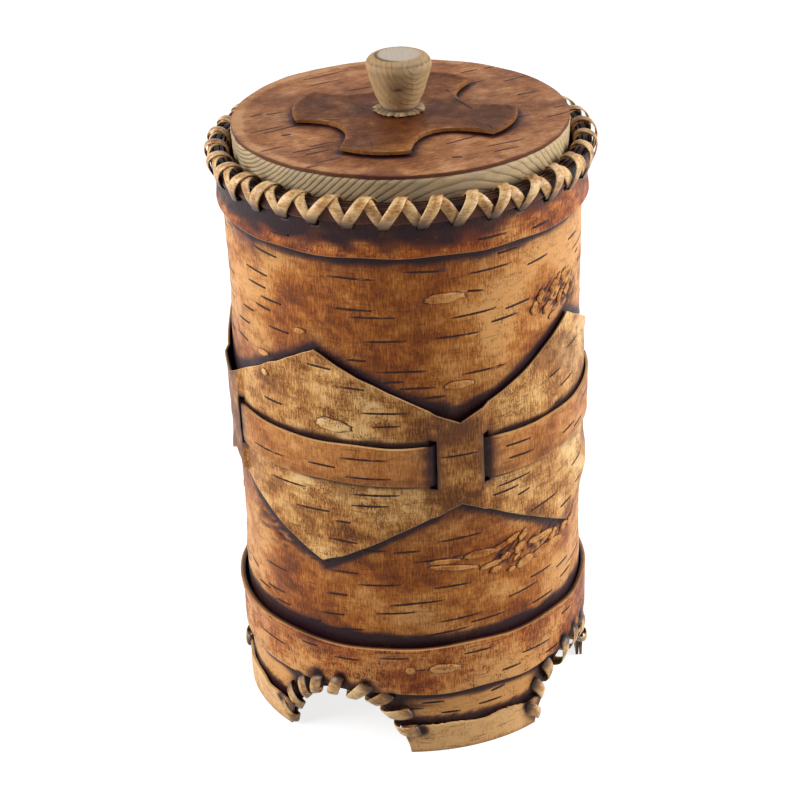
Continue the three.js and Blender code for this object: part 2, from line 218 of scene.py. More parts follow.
def even_rows(low: Array, high: Array, step: float) -> Array:
    """Spreads rows from a sheet's lower to its upper edge, with a narrow row along each.

    Args:
        low: height of the lower edge at each column.
        high: height of the upper edge at each column.
        step: about how far the rows stand apart, in millimetres.

    Returns:
        The heights, with one line for each column.
    """
    low, high = np.broadcast_arrays(np.asarray(low, float), np.asarray(high, float))
    count = max(2, round(float((high - low).max()) / step))
    share = np.linspace(0, 1, count + 1)
    margin = np.minimum(EDGE_ROW, (high - low) * 0.12)[..., None]
    middle = (low[..., None] + margin) + ((high - low)[..., None] - 2 * margin) * share
    return np.concatenate([low[..., None], middle, high[..., None]], -1)


def even_turns(start: float, end: float, step: float, marks: Sequence[float] = ()) -> Array:
    """Spreads columns between two turns and puts one at each mark.

    Args:
        start: the first column's turn.
        end: the last column's turn.
        step: about how far the columns stand apart, in degrees.
        marks: turns that get a column of their own, from 0 to 360.

    Returns:
        The columns' turns, rising.
    """
    inset = WALL.turn_of(EDGE_ROW)
    stops = {start, start + inset, end - inset, end}
    for mark in marks:
        first = math.ceil((start + 2 * inset - mark) / FULL_TURN)
        place = mark + first * FULL_TURN
        while place < end - 2 * inset:
            stops.add(place)
            place += FULL_TURN
    stops = sorted(stops)
    turns = [stops[0]]
    for before, after in zip(stops, stops[1:]):
        if after - before < 1e-6:
            continue
        parts = max(1, round((after - before) / step))
        turns.extend(np.linspace(before, after, parts + 1)[1:])
    return np.array(turns)


def nothing(turn: Array, height: Array) -> Array:
    """Gives zero everywhere."""
    return np.zeros(np.broadcast(turn, height).shape)


@dataclass
class WoundSheet:
    """A thin sheet of bark wound on the wall, as one closed mesh with cut edges.

    turns holds one turn for each column and heights one line of heights for each column.
    inner and outer are the radii of the faces, lift moves both faces and relief only the outer
    one. missing tells where the sheet has a hole. stain and pale are the marks for the finish;
    they carry painted shade and painted light besides stain and wear on some sheets. through is
    the share of the stain that shows on the inner face, and the field after it the least stain
    there, a painted shade for the gap behind a sheet that stands off.
    """

    name: str
    turns: Array
    heights: Array
    inner: Array | float
    outer: Array | float
    lift: Field = nothing
    relief: Field = nothing
    missing: Field | None = None
    stain: Field = nothing
    pale: Field = nothing
    rounding: float = 0.05
    through: float = 1.0
    # The least stain on the inner face: painted shade for the gap behind a sheet that stands off.
    soaked_inside: float = 0.0

    def build(self) -> Object:
        """Makes the mesh.

        Returns:
            The object, with the marks stain, pale and edge at its points.
        """
        columns, rows = self.heights.shape
        turn = np.broadcast_to(self.turns[:, None], self.heights.shape)
        lift = self.lift(turn, self.heights)
        outer = self.outer + lift + self.relief(turn, self.heights)
        inner = np.broadcast_to(self.inner + lift, outer.shape)
        cells = np.ones((columns - 1, rows - 1), bool)
        if self.missing is not None:
            middle_turn = (turn[:-1, :-1] + turn[1:, 1:]) / 2
            middle_height = (
                self.heights[:-1, :-1] + self.heights[1:, :-1]
                + self.heights[:-1, 1:] + self.heights[1:, 1:]
            ) / 4
            cells = ~self.missing(middle_turn, middle_height)
        number = np.arange(columns * rows).reshape(columns, rows)
        back = number + columns * rows
        a, b, c, d = number[:-1, :-1], number[1:, :-1], number[1:, 1:], number[:-1, 1:]
        ai, bi, ci, di = back[:-1, :-1], back[1:, :-1], back[1:, 1:], back[:-1, 1:]
        around = np.pad(cells, 1)
        walls = [
            (cells & ~around[1:-1, :-2], (b, a, ai, bi)),
            (cells & ~around[1:-1, 2:], (d, c, ci, di)),
            (cells & ~around[:-2, 1:-1], (a, d, di, ai)),
            (cells & ~around[2:, 1:-1], (c, b, bi, ci)),
        ]
        faces = [np.stack([g[cells] for g in (a, b, c, d)], -1)]
        faces.append(np.stack([g[cells] for g in (di, ci, bi, ai)], -1))
        edge = np.zeros(2 * columns * rows)
        for where, corners in walls:
            wall = np.stack([g[where] for g in corners], -1)
            faces.append(wall)
            edge[wall.ravel()] = 1
        smooth = np.arange(sum(len(f) for f in faces)) < 2 * len(faces[0])
        faces = np.concatenate(faces)
        flat_edge = edge[: columns * rows].reshape(columns, rows)
        outer = outer - self.rounding * flat_edge
        points = np.concatenate([
            roll_up(turn, outer, self.heights).reshape(-1, 3),
            roll_up(turn, inner, self.heights).reshape(-1, 3),
        ])
        stain = self.stain(turn, self.heights).ravel()
        marks = {
            "stain": np.concatenate([stain, np.maximum(stain * self.through, self.soaked_inside)]),
            "pale": np.tile(self.pale(turn, self.heights).ravel(), 2),
            "edge": edge,
        }
        used = np.unique(faces)
        renumber = np.full(len(points), -1)
        renumber[used] = np.arange(len(used))
        kept = {mark: values[used] for mark, values in marks.items()}
        return mesh_object(self.name, points[used], renumber[faces], kept, smooth)


def lapped(
    seam: float, step: float, inner: float, outer: float, marks: Sequence[float] = (),
) -> tuple[Array, Array, Array]:
    """Lays a sheet once round the wall and pares its ends where it laps over itself.

    Args:
        seam: the turn at which the under end starts.
        step: about how far the columns stand apart, in millimetres.
        inner: radius of the sheet's inner face.
        outer: radius of its outer face.
        marks: turns that get a column of their own.

    Returns:
        The columns' turns, and the inner and the outer radius at each column.
    """
    lap_turn = WALL.turn_of(WALL.lap)
    turns = even_turns(seam, seam + FULL_TURN + lap_turn, WALL.turn_of(step), marks)
    tip, slack = 0.12, 0.1
    under = np.clip((turns - seam) / lap_turn, 0, 1)
    over = np.clip((turns - seam - FULL_TURN) / lap_turn, 0, 1)
    thick = outer - inner
    outer_at = inner + tip + (thick - tip) * under
    inner_at = inner + (tip + (thick - tip) * over + slack) * (over > 0)
    outer_at = np.where(over > 0, np.maximum(outer_at, inner_at + 0.3), outer_at)
    return turns, inner_at[:, None], outer_at[:, None]


# Materials

def linear(code: str) -> tuple[float, float, float, float]:
    """Turns an sRGB hex colour into the linear numbers that Blender's sockets take.

    Args:
        code: six hex digits.

    Returns:
        Red, green, blue and an alpha of 1.
    """
    shares = [int(code[i:i + 2], 16) / 255 for i in (0, 2, 4)]
    rgb = [s / 12.92 if s <= 0.04045 else ((s + 0.055) / 1.055) ** 2.4 for s in shares]
    return (*rgb, 1.0)


@dataclass(frozen=True)
class Nodes:
    """Adds nodes to one tree, each with its settings, values and links in one call."""

    tree: NodeTree

    def __call__(self, kind: str, inputs: dict[Any, Any] | None = None, out: Any = 0, **settings: Any) -> Any:
        """Adds one node.

        Args:
            kind: the node's type name.
            inputs: a value or an output socket for each input, by the input's name or number.
            out: the name or number of the output that is wanted, None for the node itself.
            settings: the node's own properties.

        Returns:
            The output socket, or the node.
        """
        node = self.tree.nodes.new(kind)
        for key, value in settings.items():
            setattr(node, key, value)
        for key, value in (inputs or {}).items():
            socket = node.inputs[key]
            if isinstance(value, NodeSocket):
                self.tree.links.new(value, socket)
            elif isinstance(value, (int, float)) and hasattr(socket.default_value, "__len__"):
                socket.default_value = [value] * len(socket.default_value)
            else:
                socket.default_value = value
        return node if out is None else node.outputs[out]

    def math(self, operation: str, *values: Any) -> NodeSocket:
        """Adds a node that reckons with numbers."""
        return self("ShaderNodeMath", dict(enumerate(values)), operation=operation)

    def vector(self, operation: str, *values: Any, out: Any = 0) -> NodeSocket:
        """Adds a node that reckons with vectors."""
        return self("ShaderNodeVectorMath", dict(enumerate(values)), out, operation=operation)

    def join(self, **parts: Any) -> NodeSocket:
        """Joins numbers into a vector, 0 where x, y or z isn't given."""
        return self("ShaderNodeCombineXYZ", {key.upper(): value for key, value in parts.items()})

    def split(self, vector: NodeSocket) -> Any:
        """Gives a vector's x, y and z."""
        return self("ShaderNodeSeparateXYZ", {0: vector}, None).outputs

    def named(self, *keys: str) -> list[NodeSocket]:
        """Reads named numbers from the mesh, one output for each key."""
        return [self("GeometryNodeInputNamedAttribute", {"Name": k}, data_type="FLOAT") for k in keys]

    def mix(self, share: NodeSocket, first: Any, code: str) -> NodeSocket:
        """Mixes a hex colour over a first colour by a share."""
        return self("ShaderNodeMix", {0: share, 6: first, 7: linear(code)}, 2, data_type="RGBA")


def set_ramp(node: Node, stops: Sequence[tuple[float, str]]) -> NodeSocket:
    """Gives a colour ramp its stops.

    Args:
        node: the colour ramp node.
        stops: a place from 0 to 1 and a hex colour for each stop.

    Returns:
        The ramp's colour output.
    """
    ramp = node.color_ramp
    while len(ramp.elements) < len(stops):
        ramp.elements.new(1.0)
    for element, (place, colour) in zip(ramp.elements, stops):
        element.position = place
        element.color = linear(colour)
    return node.outputs[0]


def blank(name: str) -> tuple[Material, Nodes, NodeSocket]:
    """Starts a material whose patterns are measured in the piece's own millimetres.

    Args:
        name: the material's name.

    Returns:
        The material, its nodes, and the output with the place in millimetres.
    """
    made = bpy.data.materials.new(name)
    made.use_nodes = True
    made.node_tree.nodes.clear()
    node = Nodes(made.node_tree)
    return made, node, node.vector("MULTIPLY", node("ShaderNodeTexCoord", out="Object"), 1 / MM)


def finish_off(
    node: Nodes, colour: NodeSocket, rough: Any, dents: NodeSocket, bump: float, depth: float,
    index: float, gloss: float,
) -> None:
    """Gives a material its shader and its output.

    Args:
        node: the material's nodes.
        colour: its colour.
        rough: how dull it is.
        dents: the height of its fine unevenness.
        bump: the strength of that unevenness.
        depth: its depth in millimetres.
        index: its index of refraction.
        gloss: how much it mirrors.
    """
    normal = node("ShaderNodeBump", {"Height": dents, "Strength": bump, "Distance": depth * MM})
    shader = node("ShaderNodeBsdfPrincipled", {
        "Base Color": colour, "Roughness": rough, "Normal": normal, "IOR": index,
        "Specular IOR Level": gloss,
    })
    node("ShaderNodeOutputMaterial", {"Surface": shader}, None)


class Lay(Enum):
    """The way that a bark's fine fibres run, as how closely the grains lie along each axis."""

    ROUND = (0.5, 0.5, 2.4)
    UP = (2.3, 2.3, 0.3)
    BOARD = (0.3, 1.5, 1.0)


@dataclass(frozen=True)
class BarkFinish:
    """Birch bark, inner side out, toned with stain that was wiped off the high places and waxed.

    To the eye that is a honey to russet ground with soft blotches, fine fibres and clusters of
    dark grit, purple brown haze and nearly black stain beside every step, and a dull wax gloss.
    The dark beside the steps, in holes and in gaps is partly painted shade, and some paler
    places are painted light.
    """

    name: str
    pale: str
    light: str
    middle: str
    deep: str
    cut_edge: str
    toned: str = "582E22"
    stain: str = "220C13"
    blotch_mm: float = 22.0
    mottle_mm: float = 4.0
    fibre_mm: float = 0.8
    lay: Lay = Lay.UP
    weights: tuple[float, float, float] = (0.4, 0.24, 0.36)
    spread: float = 0.13
    pores: float = 0.4
    grit: float = 0.6
    roughness: float = 0.42
    gloss: float = 0.2
    bump: float = 0.4

    @cache
    def material(self) -> Material:
        """Builds the node tree, once for each finish.

        Returns:
            The material.
        """
        made, node, spot = blank(self.name)
        if self.lay is Lay.BOARD:
            turned = {"Vector": spot, "Angle": math.radians(-53)}
            spot = node("ShaderNodeVectorRotate", turned, rotation_type="Z_AXIS")
        blotch, mottle, fibre, pore, grit = (
            node("ShaderNodeTexNoise", {
                "Vector": node.vector("MULTIPLY", spot, [s / size for s in stretch]), "Scale": 1.0,
                "Detail": detail, "Roughness": rough,
            }) for size, stretch, detail, rough in (
                (self.blotch_mm, (1, 1, 1.3), 3, 0.55), (self.mottle_mm, (0.8, 0.8, 1.4), 5, 0.66),
                (self.fibre_mm, self.lay.value, 3, 0.7), (3.0, (0.45, 0.45, 6), 1, 0.5),
                (0.42, (1, 1, 0.6), 2, 0.6),
            )
        )
        three = node.join(x=blotch, y=mottle, z=fibre)
        ground = node.vector("DOT_PRODUCT", three, self.weights, out="Value")
        mark, rubbed, cut = (
            node("ShaderNodeAttribute", out="Fac", attribute_name=key)
            for key in ("stain", "pale", "edge")
        )
        # The pale mark lightens the ground colour: wear, and on some pieces painted light.
        lighter = node.math("MULTIPLY_ADD", rubbed, 2 * self.spread, ground)
        colour = set_ramp(node("ShaderNodeValToRGB", {0: lighter}, None), [
            (0.5 + self.spread * place, shade) for place, shade in
            ((-1.0, self.deep), (-0.3, self.middle), (0.35, self.light), (1.0, self.pale))
        ])
        uneven = node.math("MULTIPLY_ADD", ground, -1.6, 1.75)
        # The stain mark darkens through the haze colour to near black: real stain, and beside steps, in holes
        # and in gaps also painted shade.
        held = node.math("MULTIPLY", mark, uneven)
        cluster, gritty, porous, hazed, soaked = (
            node("ShaderNodeMapRange", {"Value": a, "From Min": b, "From Max": c, "To Max": most},
                 interpolation_type="SMOOTHSTEP")
            for a, b, c, most in (
                (mottle, 0.56, 0.42, self.grit), (grit, 0.49, 0.40, 1.0), (pore, 0.37, 0.29, self.pores),
                (held, 0.02, 0.55, 0.85), (held, 0.35, 0.95, 0.98),
            )
        )
        specks = node.math("MULTIPLY", cluster, gritty)
        for amount, shade in (
            (specks, self.deep), (porous, self.stain), (node.math("MULTIPLY", cut, 0.8), self.cut_edge),
            (hazed, self.toned), (soaked, self.stain),
        ):
            colour = node.mix(amount, colour, shade)
        dents = node.math("MULTIPLY_ADD", specks, -0.9, fibre)
        rough = node("ShaderNodeMapRange", {
            "Value": mottle, "From Min": 0.3, "From Max": 0.7,
            "To Min": self.roughness + 0.1, "To Max": self.roughness - 0.06,
        })
        finish_off(node, colour, rough, dents, self.bump, 0.25, 1.48, self.gloss)
        return made


@dataclass(frozen=True)
class WoodFinish:
    """Bare softwood, sawn or turned, dried to a pale grey straw.

    To the eye that is a matt surface with year rings, whose lines lie side by side along the
    grain and run slantwise over the end grain. heart is where the middle of the tree was and
    way the way that the trunk ran, both in the piece's own millimetres.
    """

    name: str
    early: str
    late: str
    weathered: str
    way: tuple[float, float, float]
    heart: tuple[float, float, float]
    ring_mm: float = 2.1
    ring_depth: float = 0.75
    waver_mm: float = 3.0
    line_grime: float = 0.0
    grime: str = "3E322C"
    bleach: str = "C2BAB0"
    roughness: float = 0.66
    bump: float = 0.5

    @cache
    def material(self) -> Material:
        """Builds the node tree, once for each finish.

        Returns:
            The material.
        """
        made, node, place = blank(self.name)
        spot = node.vector("SUBTRACT", place, self.heart)
        way = Vector(self.way).normalized()
        along = node.vector("DOT_PRODUCT", spot, way, out="Value")
        on_axis = node.vector("MULTIPLY", way, along)
        off_axis = node.vector("SUBTRACT", spot, on_axis)
        radius = node.vector("LENGTH", off_axis, out="Value")
        waver = node("ShaderNodeTexNoise", {"Vector": spot, "Scale": 0.06, "Detail": 3.0})
        turned = node.math("MULTIPLY_ADD", waver, self.waver_mm, radius)
        ring = node.math("FRACT", node.math("DIVIDE", turned, self.ring_mm))
        late = set_ramp(
            node("ShaderNodeValToRGB", {0: ring}, None),
            [(0.0, "000000"), (0.5, "707070"), (0.88, "FFFFFF"), (1.0, "000000")],
        )
        stretched = node.vector("MULTIPLY_ADD", on_axis, -0.88, spot)
        fibres = node(
            "ShaderNodeTexNoise", {"Vector": stretched, "Scale": 1.6, "Detail": 4.0, "Roughness": 0.7},
        )
        greying = node("ShaderNodeTexNoise", {"Vector": spot, "Scale": 0.09, "Detail": 4.0})
        mark, bleached = (
            node("ShaderNodeAttribute", out="Fac", attribute_name=key) for key in ("stain", "pale")
        )
        torn, greyed = (
            node("ShaderNodeMapRange", {"Value": a, "From Min": b, "From Max": c, "To Max": most})
            for a, b, c, most in ((fibres, 0.5, 0.75, 0.5), (greying, 0.5, 0.7, 0.35))
        )
        in_lines = node.math("MULTIPLY_ADD", late, self.line_grime, 1 - self.line_grime)
        colour = linear(self.early)
        for share, shade in (
            (node.math("MULTIPLY", late, self.ring_depth), self.late), (torn, self.late),
            (greyed, self.weathered), (bleached, self.bleach),
            (node.math("MULTIPLY", mark, in_lines), self.grime),
        ):
            colour = node.mix(share, colour, shade)
        dents = node.math("MULTIPLY_ADD", late, 0.8, fibres)
        finish_off(node, colour, self.roughness, dents, self.bump, 0.3, 1.5, 0.25)
        return made


Finish = BarkFinish | WoodFinish
WRAP_BARK = BarkFinish(
    name="birch_bark_stained_and_wiped", pale="D89C5C", light="B97330", middle="924C18",
    deep="5A2C0E", cut_edge="C08A4E", spread=0.115, pores=0.35, grit=0.55,
)
HOOP_BARK = BarkFinish(
    name="birch_bark_hoop_stained", pale="DCA060", light="BA6C2E", middle="883E12",
    deep="48200C", cut_edge="D6A468", toned="5C2A1A", spread=0.11, grit=0.85,
)
BELT_BARK = BarkFinish(
    name="birch_bark_belt_rubbed", pale="EFC688", light="D49C5A", middle="A4682F",
    deep="5E3416", cut_edge="E6C08A", toned="643A20", spread=0.1, grit=0.85, blotch_mm=18, mottle_mm=6,
)
STRAP_BARK = BarkFinish(
    name="birch_bark_strap_waxed", pale="E8B67A", light="CE8E50", middle="B06C32",
    deep="723E17", cut_edge="E0B47A", spread=0.13, grit=0.4, mottle_mm=3.4,
)
# Nearly black: the rim's own stain, darkened further as painted shade between the laces.
RIM_BARK = BarkFinish(
    name="birch_bark_rim_stained_dark", pale="8A5A36", light="5A301C", middle="3C1E14",
    deep="281210", cut_edge="B08050", grit=0.3,
)
LINER_BARK = BarkFinish(
    name="birch_bark_plain_liner", pale="E6C698", light="D2A878", middle="BC8C5C",
    deep="99693F", cut_edge="8A5C34", lay=Lay.ROUND, grit=0.25, roughness=0.55,
)
LACE_BARK = BarkFinish(
    name="birch_bark_lace_satin", pale="E6C08A", light="CC9C5E", middle="A67038",
    deep="623A1A", cut_edge="D0A068", blotch_mm=7, mottle_mm=2.2, lay=Lay.ROUND, pores=0.0,
    grit=0.4, roughness=0.3, gloss=0.45, bump=0.3, spread=0.1, toned="6A4022", stain="2C180C",
)
LID_BARK = BarkFinish(
    name="birch_bark_lid_brown", pale="C08E62", light="A26B42", middle="804D2B",
    deep="5A3219", cut_edge="50301F", lay=Lay.BOARD, pores=0.0, grit=0.4, spread=0.13,
    blotch_mm=16, roughness=0.5, gloss=0.15,
)
CROSS_BARK = BarkFinish(
    name="birch_bark_lid_ornament", pale="A46E3E", light="7C4820", middle="582E13",
    deep="3E1F0C", cut_edge="80542C", toned="542A12", lay=Lay.BOARD, pores=0.0, grit=0.6, spread=0.13,
    roughness=0.5, gloss=0.12,
)
PORE_BARK = BarkFinish(
    name="birch_bark_pores_dark", pale="40200F", light="30160C", middle="24100A",
    deep="1A0A07", cut_edge="38190E", pores=0.0, grit=0.0, roughness=0.5,
)
LID_WOOD = WoodFinish(
    name="pine_sawn_bare", early="D0B78E", late="8C6C44", weathered="8E8A84",
    way=(-0.7, -0.71, 0.0), heart=(-1.0, 1.0, 200.0), ring_mm=1.15, waver_mm=1.2,
    line_grime=0.8, ring_depth=0.6,
)
BASE_WOOD = WoodFinish(
    name="pine_base_bare", early="D6BE92", late="A98556", weathered="B0A288",
    way=(0.8, 0.6, 0.0), heart=(20.0, -30.0, -40.0),
)
KNOB_WOOD = WoodFinish(
    name="pine_turned_bare", early="B4946A", late="7E6040", weathered="928878",
    way=(0.43, -0.9, 0.2), heart=(4.0, 2.0, 192.5), ring_mm=1.4, ring_depth=0.18,
)


# Where the belt and the arches run

@dataclass(frozen=True)
class Arches:
    """The four arches cut in the foot, as the CAD source draws them."""

    rise: float = 18.8
    width: float = 39.3
    shoulder: float = 2.5
    crown: float = 1.4

    def edge(self, turn: Array) -> Array:
        """Gives the height of the wrap's lower edge at a turn."""
        share = np.abs(WALL.arc_of(turn_between(turn, 0, QUARTER_TURN))) / (self.width / 2)
        return self.rise * np.clip(1 - share ** self.shoulder, 0, None) ** (1 / self.crown)

    def past_side(self, turn: Array) -> Array:
        """Gives the arc from the foot of the nearest arch's side, below zero inside the arch."""
        return WALL.arc_of(np.abs(turn_between(turn, 0, QUARTER_TURN)) - WALL.turn_of(self.width / 2))

    def marks(self) -> list[float]:
        """Gives turns where the edge bends fast, so that columns stand close together there.

        Returns:
            The turns, from 0 to 360.
        """
        shares = (0.2, 0.4, 0.6, 0.75, 0.86, 0.93, 0.97, 0.99, 1.0)
        half = WALL.turn_of(self.width / 2)
        return [
            (k * QUARTER_TURN + side * share * half) % FULL_TURN
            for k in range(QUARTERS) for side in (-1, 1) for share in shares
        ]


@dataclass(frozen=True)
class BeltLine:
    """The outline of the diamond belt and its slots, as the CAD source draws them."""

    neck_turn: float = 40.5
    neck_height: float = 24.6
    diamond_height: float = 65.8
    bridge_width: float = 12.8
    slot_width: float = 1.9
    slot_length: float = 15.0
    thickness: float = 0.7
    low: float = 50.4
    high: float = 51.5

    def from_neck(self, turn: Array) -> Array:
        """Gives how many degrees a turn is from the nearest neck."""
        return np.abs(turn_between(turn, self.neck_turn, QUARTER_TURN))

    def half_height(self, turn: Array) -> Array:
        """Gives the distance from the belt's middle line to its edge at a turn."""
        share = self.from_neck(turn) / (QUARTER_TURN / 2)
        return (self.neck_height + (self.diamond_height - self.neck_height) * share) / 2

    def bridge_half(self) -> float:
        """Gives half the turn of a bridge between its two slots."""
        return WALL.turn_of(self.bridge_width / 2)

    def slot_end(self) -> float:
        """Gives the turn from a neck's middle to the far side of its slot."""
        return WALL.turn_of(self.bridge_width / 2 + self.slot_width)

    def slot_middle(self) -> float:
        """Gives the turn from a neck's middle to the middle of its slot."""
        return (self.bridge_half() + self.slot_end()) / 2

    def from_slot(self, turn: Array) -> Array:
        """Gives the arc from the middle of the nearest slot."""
        return WALL.arc_of(np.abs(self.from_neck(turn) - self.slot_middle()))

    def gap(self, turn: Array, height: Array) -> Array:
        """Gives the distance outside the belt's outline, below zero inside it."""
        slope = math.cos(math.atan2(self.diamond_height - self.neck_height, WALL.radius * math.pi / 2))
        return (np.abs(height - WALL.belt_middle) - self.half_height(turn)) * slope


ARCHES = Arches()
BELT_LINE = BeltLine()


# Geometry Nodes

def new_tree(name: str, **inputs: str) -> tuple[NodeTree, Nodes, Any]:
    """Starts a Geometry Nodes tree.

    Args:
        name: the tree's name.
        inputs: the kind of each named input, after the geometry.

    Returns:
        The tree, its nodes, and the outputs of its input node.
    """
    tree = bpy.data.node_groups.new(name, "GeometryNodeTree")
    for key, kind in (("Geometry", "Geometry"), *inputs.items()):
        tree.interface.new_socket(key, in_out="INPUT", socket_type=f"NodeSocket{kind}")
    tree.interface.new_socket("Geometry", in_out="OUTPUT", socket_type="NodeSocketGeometry")
    node = Nodes(tree)
    return tree, node, node("NodeGroupInput", out=None).outputs


def close_tree(node: Nodes, shapes: NodeSocket, place: NodeSocket, material: NodeSocket) -> None:
    """Moves the shapes' points, smooths and dresses them and ends the tree.

    Args:
        node: the tree's nodes.
        shapes: the real shapes.
        place: where each of their points goes.
        material: their finish.
    """
    laid = node("GeometryNodeSetPosition", {"Geometry": shapes, "Position": place})
    smooth = node("GeometryNodeSetShadeSmooth", {"Geometry": laid})
    dressed = node("GeometryNodeSetMaterial", {"Geometry": smooth, "Material": material})
    node("NodeGroupOutput", {0: dressed}, None)


def grown(name: str, seedling: Object, tree: NodeTree, values: dict[str, Any]) -> Object:
    """Runs a tree on an object and keeps the result as a plain mesh.

    Args:
        name: the finished piece's name.
        seedling: the object that the tree starts from, which is removed afterwards.
        tree: the Geometry Nodes tree.
        values: a value for each named input.

    Returns:
        The finished piece.
    """
    modifier = seedling.modifiers.new(tree.name, "NODES")
    modifier.node_group = tree
    sockets = {s.name: s.identifier for s in tree.interface.items_tree if s.in_out == "INPUT"}
    for key, value in values.items():
        modifier[sockets[key]] = value
    graph = bpy.context.evaluated_depsgraph_get()
    mesh = bpy.data.meshes.new_from_object(seedling.evaluated_get(graph))
    mesh.name = name
    bpy.data.objects.remove(seedling)
    return in_scene(name, mesh)


class Ground(Enum):
    """The kinds of surface that marks in the bark lie on."""

    WALL = "wall"
    LID = "lid"


def marks_tree(ground: Ground) -> NodeTree:
    """Builds the tree that lays small shapes on a sheet of bark.

    Each point of the starting mesh stands for one mark and has its length, tall and tilt. On the
    wall the points lie in the unrolled plane, and a ray from outside finds the bark at each of
    the shape's points. On the lid they lie in plan, and the ray comes down.

    Args:
        ground: the kind of surface.

    Returns:
        The tree.
    """
    tree, node, given = new_tree(
        f"marks_on_{ground.value}", Shape="Object", Sheet="Object", Radius="Float", Rise="Float",
        Finish="Material",
    )
    shape, sheet = (
        node("GeometryNodeObjectInfo", {"Object": given[key]}, "Geometry") for key in ("Shape", "Sheet")
    )
    length, tall, tilt = node.named("length", "tall", "tilt")
    on_wall = ground is Ground.WALL
    turn = (
        node.join(y=node.math("MULTIPLY", tilt, -1.0)) if on_wall
        else node.join(x=math.radians(-90), z=tilt)
    )
    real = node("GeometryNodeRealizeInstances", {0: node("GeometryNodeInstanceOnPoints", {
        "Points": given["Geometry"], "Instance": shape, "Rotation": turn,
        "Scale": node.join(x=length, y=given["Rise"], z=tall),
    })})
    x, y, z = node.split(node("GeometryNodeInputPosition"))
    far = 0.006
    level = given["Radius"]
    above = node.math("ADD", level, far)
    if on_wall:
        angle = node.math("DIVIDE", x, level)
        outward = node.join(x=node.math("COSINE", angle), y=node.math("SINE", angle))
        proud = node.math("MULTIPLY", y, -1.0)
        start = node.vector("MULTIPLY_ADD", outward, above, node.join(z=z))
    else:
        outward = node.join(z=1.0)
        proud = node.math("SUBTRACT", z, level)
        start = node.join(x=x, y=y, z=above)
    ray = node("GeometryNodeRaycast", {
        "Target Geometry": sheet, "Source Position": start, "Ray Length": 2 * far,
        "Ray Direction": node.vector("MULTIPLY", outward, -1.0),
    }, None).outputs
    final = node.vector("MULTIPLY_ADD", outward, proud, ray["Hit Position"])
    missed = node.math("SUBTRACT", 1.0, ray["Is Hit"])
    kept = node("GeometryNodeDeleteGeometry", {"Geometry": real, "Selection": missed}, domain="POINT")
    close_tree(node, kept, final, given["Finish"])
    return tree


def whipping_tree() -> NodeTree:
    """Builds the tree that whips a lace round the edge of the wall.

    The starting mesh is a row of points along the edge, one for each stitch, whose x is the
    distance along the edge and whose wall is the outer radius there. The stitch's own x runs
    along the edge, its z out past the edge and its y into the wall. Its points know by outside
    whether they follow the outer or the inner face.

    Returns:
        The tree.
    """
    tree, node, given = new_tree(
        "lace_whipped_round_an_edge", Stitch="Object", Edge="Object", Radius="Float", Inner="Float",
        Sway="Float", Swell="Float", Seed="Int", Finish="Material",
    )
    stitch, edge = (
        node("GeometryNodeObjectInfo", {"Object": given[key]}, "Geometry") for key in ("Stitch", "Edge")
    )
    lean, swell = (
        node("FunctionNodeRandomValue", {2: low, 3: high, 8: seed}, 1, data_type="FLOAT")
        for low, high, seed in (
            (node.math("MULTIPLY", given["Sway"], -1.0), given["Sway"], given["Seed"]),
            (node.math("SUBTRACT", 1.0, given["Swell"]), node.math("ADD", 1.0, given["Swell"]),
             node.math("ADD", given["Seed"], 7.0)),
        )
    )
    placed = node("GeometryNodeInstanceOnPoints", {
        "Points": given["Geometry"], "Instance": stitch, "Scale": node.join(x=1.0, y=swell, z=swell),
    })
    leant = node("GeometryNodeStoreNamedAttribute", {
        "Geometry": placed, "Name": "lean", "Value": lean,
    }, data_type="FLOAT", domain="INSTANCE")
    real = node("GeometryNodeRealizeInstances", {0: leant})
    x, y, z = node.split(node("GeometryNodeInputPosition"))
    wall, outside, leaning = node.named("wall", "outside", "lean")
    sample = node("GeometryNodeSampleCurve", {
        "Curves": edge, "Length": node.math("MULTIPLY_ADD", z, leaning, x),
    }, None, mode="LENGTH", use_all_curves=True).outputs
    way_x, _, way_z = node.split(sample["Tangent"])
    past = node.join(x=node.math("MULTIPLY", way_z, -1.0), z=way_x)
    flat_x, _, flat_z = node.split(node.vector("MULTIPLY_ADD", past, z, sample["Position"]))
    thick = node.math("SUBTRACT", wall, given["Inner"])
    face = node.math("MULTIPLY_ADD", thick, outside, given["Inner"])
    radius = node.math("SUBTRACT", face, y)
    angle = node.math("DIVIDE", flat_x, given["Radius"])
    final = node.join(
        x=node.math("MULTIPLY", radius, node.math("COSINE", angle)),
        y=node.math("MULTIPLY", radius, node.math("SINE", angle)), z=flat_z,
    )
    close_tree(node, real, final, given["Finish"])
    return tree


